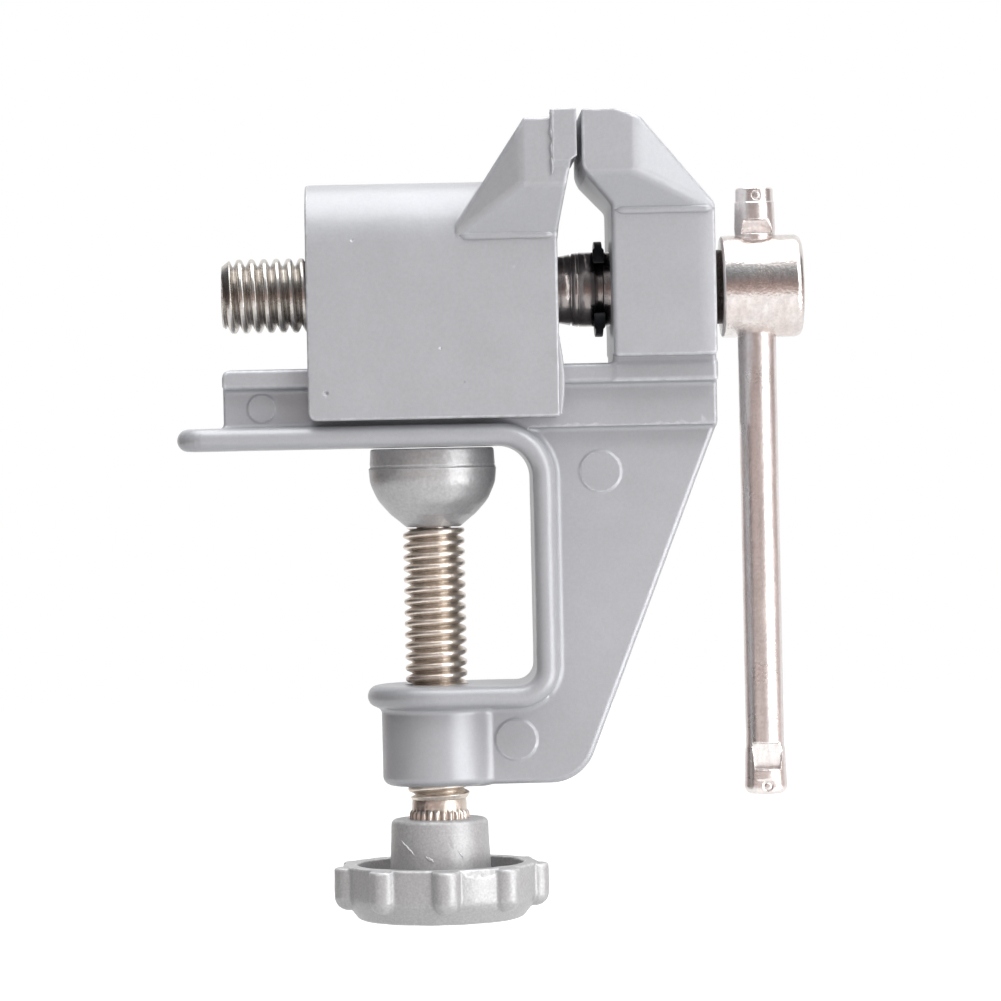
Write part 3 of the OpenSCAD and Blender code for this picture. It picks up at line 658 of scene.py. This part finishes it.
def vise_journal():
    """Shank of the vise screw between thread and head: undercut, taper, two turned lines and clip groove."""
    r = SCREW_D / 2
    g = GROOVE_D / 2
    groove_end = CLIP_X + CLIP_T + FIT
    points = [(THREAD_END_X - 0.15, r - 0.2), (THREAD_END_X, r - 0.25), (16.0, r - 0.48), (16.8, r - 0.45),
              (18.02, r - 0.2), (18.1, r - 0.34), (18.26, r - 0.34), (18.34, r - 0.12), (19.0, r - 0.02),
              (19.06, r - 0.08), (19.16, r - 0.08), (19.22, r), (CLIP_X - FIT - 0.06, r),
              (CLIP_X - FIT, r - 0.06), (CLIP_X - FIT, g + 0.05), (CLIP_X, g), (groove_end - FIT, g),
              (groove_end, g + 0.05), (groove_end, r - 0.06), (groove_end + 0.06, r), (HEAD_X + 0.5, r)]
    return turned("vise_journal", points, 128)


def head_field(x, y, z):
    """The cross-drilled head of the vise screw."""
    rho = np.hypot(y, z - SCREW_Z)
    d = common(rho - HEAD_R, HEAD_X - x, 0.45)
    d = common(d, x - HEAD_X - HEAD_L, 1.0)
    d = cut(d, np.hypot(x - BAR_X, y) - BAR_D / 2 - FIT, 0.25)
    return d + 0.012 * wave(x, y, z, 6) + 0.006 * wave(y, z, x, 1.7) + 0.015


def clip_field(x, y, z):
    """The open spring clip: ring, back prong and two broad ears beside the opening, which faces the front."""
    outer_r, inner_r, ring_t, mouth_half = CLIP_D / 2, GROOVE_D / 2, 0.88, 3.15
    height = np.abs(z - SCREW_Z)
    rho = np.hypot(y, z - SCREW_Z)
    ring = common(rho - outer_r, outer_r - ring_t - rho, 0.1)
    prong = np.maximum(np.maximum(height - 1.0, 2 - y), np.maximum(inner_r - rho, rho - 5.5))
    ears = np.maximum(np.abs(height - 4.1) - 0.95, np.maximum(y + 0.6, inner_r + 0.05 - rho))
    ears = common(ears, rho - outer_r, 0.15)
    d = np.minimum(np.minimum(ring, prong), ears)
    d = cut(d, np.maximum(height - mouth_half, y), 0.25)
    spread = np.clip(1 - np.maximum(height - 4.9, y + 2.2) / 0.3, 0, 1) * np.clip((rho - 4.8) / 0.2, 0, 1)
    return common(d, np.abs(x - CLIP_X - CLIP_T / 2) - CLIP_T / 2 - 0.22 * spread, 0.12)


def bar_field(x, y, z):
    """The handle bar: its ends are staked from the front, so that ears spread sideways."""
    u = x - BAR_X
    rho = np.hypot(u, y)
    r = BAR_D / 2
    d = np.maximum(rho - r, np.abs(z - (BAR_TOP_Z + BAR_BOTTOM_Z) / 2) - BAR_L / 2 + 2)
    for tip_z, way, base_r, tip_r, dome, near, far, near_depth, far_depth in BAR_ENDS:
        s = (tip_z - z) * way
        grow = np.clip((6.4 - s) / 1.2, 0, 1)
        share = np.clip((6 - s) / 4.8, 0, 1)
        ear = common(rho - r - grow * (base_r - r) - share * (tip_r - base_r), np.maximum(-s, s - 6.6), dome)
        ear = common(ear, np.abs(y) - 2.35, 0.3)
        d = join(d, ear, 0.3)
        along = (s - near) / (far - near)
        depth = near_depth + (far_depth - near_depth) * along
        wedge = np.maximum(y + r - depth, np.maximum(near - s, s - far))
        wedge = np.maximum(wedge, np.abs(u - 0.15) - 1.6 - 0.35 * along)
        d = cut(d, wedge, 0.15)
        mark = np.hypot(np.hypot(u - 0.1, s - 1.05) - 0.5, y + 2.36) - 0.13
        d = cut(d, mark, 0.08)
    return d + 0.008 * wave(x, y, z, 7) + 0.004 * wave(z, x, y, 2)


def clamp_thread():
    """The clamp screw's threaded shank."""
    r = CLAMP_D / 2
    low_z, high_z = PAD_BOTTOM_Z - 34.9, PAD_BOTTOM_Z - 0.1
    s, a, radius = thread_rows(low_z, high_z, r, CLAMP_THREAD_H, CLAMP_PITCH, 96, 18)
    radius = np.minimum(radius, 3.7 + np.clip((high_z - s) / 0.2, 0, 1) * 0.25)
    radius = np.minimum(radius, 3.5 + np.clip((s - low_z) / 0.8, 0, 1) * 0.45)
    rows = np.stack([radius * np.cos(a), radius * np.sin(a), s], -1)
    return depth_marked(swept("clamp_thread", rows), (r - radius) / CLAMP_THREAD_H)


def clamp_tail():
    """Plain neck and knurled tail below the clamp screw's thread."""
    places = np.array([-44.6, -45.2, -45.6, -46.2, -46.42, -46.6, -46.9, -48, -59.6, -59.9])
    plain = np.array([3.35, 3.45, 3.5, 3.5, 3.5, 3.55, 3.6, 3.6, 3.6, 3.45])
    knurl = np.array([0, 0, 0, 0, 0.04, 0.2, 0.26, 0.26, 0.26, 0.15])
    angles = np.arange(288) * 2 * math.pi / 288
    ridge = np.abs(np.sin(angles * 12)) ** 0.7
    radius = plain[:, None] + knurl[:, None] * (ridge[None, :] * 1.4 - 0.4)
    z = np.repeat(places[:, None], len(angles), 1)
    rows = np.stack([radius * np.cos(angles), radius * np.sin(angles), z], -1)[::-1]
    return swept("clamp_tail", rows)


def clamp_ball():
    """Ball and neck that the pad turns on."""
    ball_r = BALL_D / 2
    neck_r = BALL_NECK_D / 2
    neck_angle = math.acos(neck_r / ball_r)
    turns = np.linspace(-neck_angle, math.radians(88), 18)
    ball = [(BALL_Z + ball_r * math.sin(t), ball_r * math.cos(t)) for t in turns]
    return turned("clamp_ball", [(PAD_BOTTOM_Z - 0.7, neck_r), (PAD_BOTTOM_Z, neck_r)] + ball, 64, "z")


# Materials

def socket(node, name, value):
    """Sets one input of a node."""
    node.inputs[name].default_value = value


def tree(name):
    """New node material: its nodes, its links and its main shader."""
    mat = bpy.data.materials.new(name)
    mat.use_nodes = True
    nodes, links = mat.node_tree.nodes, mat.node_tree.links
    return mat, nodes, links, nodes["Principled BSDF"]


def noise(nodes, links, coords, scale, detail=3.0):
    """Noise texture on the object's own coordinates."""
    node = nodes.new("ShaderNodeTexNoise")
    socket(node, "Scale", scale)
    socket(node, "Detail", detail)
    socket(node, "Roughness", 0.55)
    links.new(coords, node.inputs["Vector"])
    return node.outputs["Fac"]


def ramp(nodes, links, value, stops):
    """Colour ramp with the given places and colours."""
    node = nodes.new("ShaderNodeValToRGB")
    items = node.color_ramp.elements
    while len(items) < len(stops):
        items.new(0.5)
    for item, (place, colour) in zip(items, stops):
        item.position = place
        item.color = (*colour, 1) if isinstance(colour, tuple) else (colour, colour, colour, 1)
    links.new(value, node.inputs["Fac"])
    return node.outputs["Color"]


def blend_colours(nodes, links, kind, factor, a, b):
    """Mix of two colours; the factor is a number or a socket."""
    node = nodes.new("ShaderNodeMix")
    node.data_type = "RGBA"
    node.blend_type = kind
    if hasattr(factor, "links"):
        links.new(factor, node.inputs[0])
    else:
        node.inputs[0].default_value = factor
    for place, value in ((6, a), (7, b)):
        if hasattr(value, "links"):
            links.new(value, node.inputs[place])
        else:
            node.inputs[place].default_value = (*value, 1)
    return node.outputs[2]


def calculated(nodes, links, operation, a, b):
    """Result of a math node on two sockets."""
    node = nodes.new("ShaderNodeMath")
    node.operation = operation
    links.new(a, node.inputs[0])
    links.new(b, node.inputs[1])
    return node.outputs[0]


def mapped(nodes, links, value, start, end, low, high):
    """Value taken from the range start to end into the range low to high, and held at its ends."""
    node = nodes.new("ShaderNodeMapRange")
    for name, number in (("From Min", start), ("From Max", end), ("To Min", low), ("To Max", high)):
        socket(node, name, number)
    links.new(value, node.inputs["Value"])
    return node.outputs[0]


def attribute(nodes, name):
    """Value that the mesh keeps under the given name."""
    node = nodes.new("ShaderNodeAttribute")
    node.attribute_name = name
    return node.outputs["Fac"]


def bumps(nodes, links, layers):
    """Stacked bump nodes from (height, strength, distance) layers."""
    last = None
    for height, strength, distance in layers:
        node = nodes.new("ShaderNodeBump")
        socket(node, "Strength", strength)
        socket(node, "Distance", distance)
        links.new(height, node.inputs["Height"])
        if last is not None:
            links.new(last, node.inputs["Normal"])
        last = node.outputs["Normal"]
    return last


def object_coords(nodes):
    """The object's own coordinates."""
    return nodes.new("ShaderNodeTexCoord").outputs["Object"]


def cast_material(name, base, metallic, rough, grain, grain_strength, wear=1.35):
    """Die-cast metal with a thin silver coat: fine speckle, faint clouds and worn edges."""
    mat, nodes, links, shader = tree(name)
    coords = object_coords(nodes)
    fine = noise(nodes, links, coords, grain, 2)
    cloud = noise(nodes, links, coords, 140, 4)
    speck = ramp(nodes, links, fine, [(0.3, 1 - grain_strength * 0.2), (0.7, 1.02)])
    tone = ramp(nodes, links, cloud, [(0.3, 0.965), (0.7, 1.02)])
    colour = blend_colours(nodes, links, "MULTIPLY", 1.0, speck, base)
    colour = blend_colours(nodes, links, "MULTIPLY", 1.0, colour, tone)
    worn = ramp(nodes, links, attribute(nodes, "bend"), [(0.28, 0.0), (0.75, 1.0)])
    patchy = ramp(nodes, links, noise(nodes, links, coords, 900, 3), [(0.35, 0.2), (0.65, 1.0)])
    ragged = calculated(nodes, links, "MULTIPLY", worn, patchy)
    bright = tuple(c * wear for c in base)
    colour = blend_colours(nodes, links, "MIX", ragged, colour, bright)
    links.new(colour, shader.inputs["Base Color"])
    socket(shader, "Metallic", metallic)
    gloss = ramp(nodes, links, noise(nodes, links, coords, 320, 3), [(0.3, rough * 0.92), (0.7, rough * 1.1)])
    links.new(gloss, shader.inputs["Roughness"])
    normal = bumps(nodes, links, [(noise(nodes, links, coords, grain * 0.8, 3), grain_strength, 0.00005),
                                  (noise(nodes, links, coords, 420, 3), grain_strength * 0.5, 0.00012)])
    links.new(normal, shader.inputs["Normal"])
    return mat


def plated_material(name, base, stain, rough, streak, peel):
    """Nickel plating: warm stains, drawing lines along one axis, fine peel, and painted shade that darkens
    the thread roots.
    """
    mat, nodes, links, shader = tree(name)
    coords = object_coords(nodes)
    scale = nodes.new("ShaderNodeMapping")
    socket(scale, "Scale", streak)
    links.new(coords, scale.inputs["Vector"])
    lines = noise(nodes, links, scale.outputs["Vector"], 1500, 3)
    patches = noise(nodes, links, coords, 260, 4)
    fine = noise(nodes, links, coords, 2600, 2)
    stained = ramp(nodes, links, patches, [(0.38, 0.0), (0.68, 1.0)])
    colour = blend_colours(nodes, links, "MIX", stained, base, stain)
    # The last layer darkens the deepest parts of the thread roots: painted shade.
    for value, stops in ((fine, [(0.3, 0.9), (0.6, 1.0)]), (lines, [(0.3, 0.86), (0.6, 1.0)]),
                         (attribute(nodes, "root"), [(0.7, 1.0), (1.0, 0.72)])):
        colour = blend_colours(nodes, links, "MULTIPLY", 1.0, colour, ramp(nodes, links, value, stops))
    links.new(colour, shader.inputs["Base Color"])
    socket(shader, "Metallic", 1.0)
    gloss = ramp(nodes, links, patches, [(0.3, rough * 0.85), (0.75, rough * 1.35)])
    links.new(gloss, shader.inputs["Roughness"])
    links.new(bumps(nodes, links, [(lines, 0.25, 0.00003), (fine, peel, 0.00004)]), shader.inputs["Normal"])
    return mat


def dark_material(name):
    """Blackened spring steel."""
    mat, nodes, links, shader = tree(name)
    coords = object_coords(nodes)
    blue = noise(nodes, links, coords, 900, 3)
    tone = ramp(nodes, links, blue, [(0.3, (0.012, 0.013, 0.017)), (0.7, (0.03, 0.031, 0.036))])
    links.new(tone, shader.inputs["Base Color"])
    socket(shader, "Metallic", 0.6)
    gloss = ramp(nodes, links, noise(nodes, links, coords, 1500, 3), [(0.3, 0.3), (0.7, 0.46)])
    links.new(gloss, shader.inputs["Roughness"])
    normal = bumps(nodes, links, [(noise(nodes, links, coords, 1800, 3), 0.15, 0.00003)])
    links.new(normal, shader.inputs["Normal"])
    return mat


# Pieces

COAT = cast_material("silver_coat", (0.455, 0.460, 0.485), 0.22, 0.36, 2600, 0.2)
JAW_COAT = cast_material("silver_coat_jaw", (0.455, 0.459, 0.483), 0.22, 0.37, 2600, 0.22)
ROUGH_CAST = cast_material("rough_cast", (0.52, 0.517, 0.525), 0.3, 0.4, 3400, 0.9, 1.4)
PAD_CAST = cast_material("pad_cast", (0.52, 0.517, 0.525), 0.45, 0.36, 2400, 0.8, 1.05)
BARE_CAST = cast_material("bare_cast", (0.84, 0.84, 0.85), 0.7, 0.3, 3400, 0.3)
NICKEL = plated_material("nickel", (0.80, 0.76, 0.74), (0.71, 0.63, 0.60), 0.18, (1, 0.4, 0.4), 0.9)
BAR_NICKEL = plated_material("nickel_bar", (0.88, 0.845, 0.83), (0.80, 0.735, 0.715), 0.29, (1, 1, 0.05), 0.6)
# Much darker copy of the screw's nickel for the journal, which lies in the narrow gap between the jaws:
# painted shade.
SHADED_NICKEL = plated_material("nickel_journal_painted_shade", (0.36, 0.33, 0.32), (0.24, 0.21, 0.20), 0.2,
                              (1, 0.2, 0.2), 0.6)
SCREW_NICKEL = plated_material("nickel_screw", (0.66, 0.63, 0.60), (0.52, 0.48, 0.44), 0.24,
                               (1, 0.3, 0.3), 0.5)
BRONZED = plated_material("bronzed_nickel", (0.84, 0.77, 0.70), (0.72, 0.64, 0.56), 0.34, (0.3, 0.3, 1), 0.9)
BLACK = dark_material("blackened")


def finish_piece(ob, material, body, nodes=()):
    """Gives a piece its material, its body and the nodes that it stands for."""
    ob.data.materials.clear()
    ob.data.materials.append(material)
    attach(ob, body)
    for node in nodes:
        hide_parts(node)


finish_piece(solid("frame_casting", frame_field, (-PLATE_REACH, -HALF_W, FRAME_BOTTOM_Z),
                   (BACK_X, HALF_W, JAW_TOP), 0.27, 0.45), COAT, "frame", ["frame"])
finish_piece(solid("jaw_casting", slide_field, (SLIDE_BACK_X, -LIP_END_Y - FIT, SLIDE_BOTTOM_Z),
                   (SLIDE_GRIP_X, LIP_END_Y + FIT, LIP_TOP_Z), 0.24, 0.6),
             JAW_COAT, "sliding_jaw", ["sliding_jaw"])
for side, label in ((-1, "front"), (1, "back")):
    finish_piece(grip_burr(side), JAW_COAT, "sliding_jaw")
    finish_piece(side_bead("slide_bead_" + label, SLOPE_X + 0.4, SLIDE_FRONT_X - 0.3, FLARE_Z + 0.1, side),
                 JAW_COAT, "sliding_jaw")
    finish_piece(side_bead("fixed_bead_" + label, WALL_X + 0.4, BACK_X - 0.3, FIXED_BACK_H - 0.55, side),
                 COAT, "frame")
finish_piece(block_flash(), JAW_COAT, "sliding_jaw")
KNOB_REACH = KNOB_D / 2 + FIT
finish_piece(solid("knob_casting", knob_field, (-KNOB_REACH, -KNOB_REACH, KNOB_BOTTOM_Z),
                   (KNOB_REACH, KNOB_REACH, HUB_TOP_Z), 0.2, 0.7),
             ROUGH_CAST, "clamp_screw", ["clamp_knob"])
for name, start, end, width in SCRATCHES:
    finish_piece(scratch(name, start, end, width), BARE_CAST, "clamp_screw")
finish_piece(solid("pad_casting", pad_field, (-PAD_R, -PAD_R, PAD_BOTTOM_Z), (PAD_R, PAD_R, 0), 0.16, 0.8),
             PAD_CAST, "clamp_pad", ["clamp_pad"])
finish_piece(pad_nib(), PAD_CAST, "clamp_pad")
finish_piece(solid("screw_head", head_field, (HEAD_X, -HEAD_R, SCREW_Z - HEAD_R),
                   (HEAD_X + HEAD_L, HEAD_R, SCREW_Z + HEAD_R), 0.16),
             NICKEL, "vise_screw", ["vise_screw"])
finish_piece(vise_journal(), SHADED_NICKEL, "vise_screw")
finish_piece(vise_thread(), SCREW_NICKEL, "vise_screw")
CLIP_REACH = CLIP_D / 2 + 0.1
finish_piece(solid("spring_clip", clip_field, (CLIP_X - 0.3, -CLIP_REACH, SCREW_Z - CLIP_REACH),
                   (CLIP_X + CLIP_T + 0.3, CLIP_REACH, SCREW_Z + CLIP_REACH), 0.09),
             BLACK, "vise_screw", ["retaining_clip"])
EAR_REACH = 2.8
finish_piece(solid("sliding_bar", bar_field, (BAR_X - EAR_REACH, -EAR_REACH, BAR_BOTTOM_Z),
                   (BAR_X + EAR_REACH, EAR_REACH, BAR_TOP_Z), 0.16),
             BAR_NICKEL, "handle_bar", ["handle_bar"])
finish_piece(clamp_thread(), BRONZED, "clamp_screw", ["clamp_screw"])
finish_piece(clamp_tail(), BRONZED, "clamp_screw")
finish_piece(clamp_ball(), BRONZED, "clamp_screw")


# Studio

FLOOR_Z = -0.14
ROOM_TOP = 0.67
ROOM_R = 0.45


def stage_mesh(name, points, faces, material):
    """Stage piece of the given corners, in metres, and faces."""
    me = bpy.data.meshes.new(name)
    me.from_pydata(points, [], faces)
    ob = bpy.data.objects.new(name, me)
    bpy.context.scene.collection.objects.link(ob)
    me.materials.append(material)
    return ob


def bare_tree(owner, output):
    """Nodes and links of a new material or world, and the surface socket of its only node."""
    owner.use_nodes = True
    nodes, links = owner.node_tree.nodes, owner.node_tree.links
    nodes.clear()
    return nodes, links, nodes.new(output).inputs["Surface"]


def floor_material():
    """Pale floor that keeps shadows near the vise, white towards the horizon, unseen from below. It also
    glows by itself in reflections, dimmer near the vise: painted shade.
    """
    mat = bpy.data.materials.new("pale_floor")
    nodes, links, out = bare_tree(mat, "ShaderNodeOutputMaterial")
    diffuse = nodes.new("ShaderNodeBsdfDiffuse")
    socket(diffuse, "Color", (0.42, 0.417, 0.415, 1))
    glow = nodes.new("ShaderNodeEmission")
    reach = nodes.new("ShaderNodeVectorMath")
    reach.operation = "LENGTH"
    links.new(object_coords(nodes), reach.inputs[0])
    path = nodes.new("ShaderNodeLightPath").outputs
    levels = []
    # The floor's own glow is weaker near the vise: for camera rays this lets the real shadow show, and in
    # reflections it is painted shade under the vise.
    for ray, near, far in (("Is Camera Ray", 0.5, 1.0), ("Is Glossy Ray", 0.68, 0.77)):
        rise = mapped(nodes, links, reach.outputs["Value"], 0.22, 0.6, near, far)
        levels.append(calculated(nodes, links, "MULTIPLY", rise, path[ray]))
    links.new(calculated(nodes, links, "ADD", *levels), glow.inputs["Strength"])
    both = nodes.new("ShaderNodeAddShader")
    links.new(diffuse.outputs[0], both.inputs[0])
    links.new(glow.outputs[0], both.inputs[1])
    clear = nodes.new("ShaderNodeBsdfTransparent")
    face = nodes.new("ShaderNodeNewGeometry")
    mix = nodes.new("ShaderNodeMixShader")
    links.new(face.outputs["Backfacing"], mix.inputs["Fac"])
    links.new(both.outputs[0], mix.inputs[1])
    links.new(clear.outputs[0], mix.inputs[2])
    links.new(mix.outputs[0], out)
    return mat


def room_material():
    """Dim room behind the camera: warm and paler low down, dark grey above, bright near the top."""
    mat = bpy.data.materials.new("dim_room")
    nodes, links, out = bare_tree(mat, "ShaderNodeOutputMaterial")
    glow = nodes.new("ShaderNodeEmission")
    place = nodes.new("ShaderNodeSeparateXYZ")
    links.new(object_coords(nodes), place.inputs[0])
    height = mapped(nodes, links, place.outputs["Z"], FLOOR_Z, ROOM_TOP, 0.0, 1.0)
    shade = ramp(nodes, links, height, [
        (0.0, (0.85, 0.76, 0.73)), (0.054, (0.70, 0.58, 0.55)), (0.143, (0.50, 0.385, 0.36)),
        (0.23, (0.33, 0.25, 0.23)), (0.32, (0.27, 0.235, 0.235)), (0.42, (0.24, 0.24, 0.25)),
        (0.53, (0.28, 0.29, 0.30)), (0.69, (0.50, 0.52, 0.54)), (0.88, (0.70, 0.70, 0.70)),
        (1.0, (1.0, 1.0, 1.0))])
    side = mapped(nodes, links, place.outputs["X"], -0.88 * ROOM_R, -0.77 * ROOM_R, 0.2, 1.05)
    links.new(shade, glow.inputs["Color"])
    links.new(side, glow.inputs["Strength"])
    links.new(glow.outputs[0], out)
    return mat


def room_wall(name, material, first, last, high):
    """Curved wall round the camera side, seen in reflections only; azimuth 0 is behind the camera."""
    steps = 24
    points = []
    for i in range(steps + 1):
        a = math.radians(first + (last - first) * i / steps)
        x, y = ROOM_R * math.sin(a), -ROOM_R * math.cos(a)
        points += [(x, y, FLOOR_Z), (x, y, high)]
    faces = [(2 * i, 2 * i + 2, 2 * i + 3, 2 * i + 1) for i in range(steps)]
    ob = stage_mesh(name, points, faces, material)
    for ray in ("camera", "diffuse", "shadow"):
        setattr(ob, "visible_" + ray, False)


def light_world():
    """White background, and a softer even light on everything else."""
    world = bpy.data.worlds.new("studio")
    bpy.context.scene.world = world
    nodes, links, out = bare_tree(world, "ShaderNodeOutputWorld")
    path = nodes.new("ShaderNodeLightPath").outputs
    seen = calculated(nodes, links, "MAXIMUM", path["Is Camera Ray"], path["Is Glossy Ray"])
    seen = calculated(nodes, links, "MAXIMUM", seen, path["Is Transmission Ray"])
    mix = nodes.new("ShaderNodeMixShader")
    links.new(seen, mix.inputs["Fac"])
    for place, strength in ((1, 0.2), (2, 1.0)):
        light = nodes.new("ShaderNodeBackground")
        socket(light, "Color", (1, 1, 1, 1))
        socket(light, "Strength", strength)
        links.new(light.outputs[0], mix.inputs[place])
    links.new(mix.outputs[0], out)


def softbox(name, azimuth, elevation, distance, width, height, power, mirrored_too=True):
    """Area lamp round the vise; azimuth 0 is behind the camera and grows to the right."""
    a, e = math.radians(azimuth), math.radians(elevation)
    place = Vector((math.sin(a) * math.cos(e), -math.cos(a) * math.cos(e), math.sin(e))) * distance
    data = bpy.data.lights.new(name, "AREA")
    data.shape = "RECTANGLE"
    data.size = width
    data.size_y = height
    data.energy = power
    ob = bpy.data.objects.new(name, data)
    ob.location = place
    ob.rotation_euler = (-place).to_track_quat("-Z", "Y").to_euler()
    ob.visible_glossy = mirrored_too
    ob.visible_camera = False
    bpy.context.scene.collection.objects.link(ob)


def camera():
    """Camera at the photograph's angle: from the side, a little rolled."""
    pixels = 1001
    focal = 4470.0
    roll = math.radians(1.2)
    origin_px = (431.9, 447.3)
    vanish_px = (420.0, 464.0)
    distance = 0.573
    right = Vector((math.cos(roll), 0, -math.sin(roll)))
    up = Vector((math.sin(roll), 0, math.cos(roll)))
    ahead = Vector((0, 1, 0))
    middle = pixels / 2
    aside = right * (middle - vanish_px[0]) / focal
    ahead = (ahead + aside - up * (middle - vanish_px[1]) / focal).normalized()
    right = ahead.cross(up).normalized()
    up = right.cross(ahead)
    shift_x = (origin_px[0] - middle) / focal * distance
    shift_y = (middle - origin_px[1]) / focal * distance
    place = -(right * shift_x + up * shift_y + ahead * distance)
    data = bpy.data.cameras.new("camera")
    data.sensor_width = 36.0
    data.lens = focal / pixels * data.sensor_width
    data.clip_start = 0.01
    ob = bpy.data.objects.new("camera", data)
    ob.matrix_world = Matrix(((right.x, up.x, -ahead.x, place.x), (right.y, up.y, -ahead.y, place.y),
                              (right.z, up.z, -ahead.z, place.z), (0, 0, 0, 1)))
    bpy.context.scene.collection.objects.link(ob)
    bpy.context.scene.camera = ob


floor_corners = [(x, y, FLOOR_Z) for x, y in ((-2, -2), (2, -2), (2, 2), (-2, 2))]
stage_mesh("floor", floor_corners, [(0, 1, 2, 3)], floor_material())
dim_room = room_material()
room_wall("room_front", dim_room, -140, 27, ROOM_TOP)
room_wall("room_right", dim_room, 74, 112, 0.3)

light_world()
softbox("key", 47, 19, 0.58, 0.34, 0.66, 1.5)
softbox("top", 0, 80, 0.8, 1.3, 1.3, 12)
softbox("front", -4, -1, 1.2, 0.8, 0.8, 3.2, False)
softbox("low_right", 58, -22, 0.3, 0.24, 0.08, 0.3)
camera()

view = bpy.context.scene.view_settings
view.view_transform = "Standard"
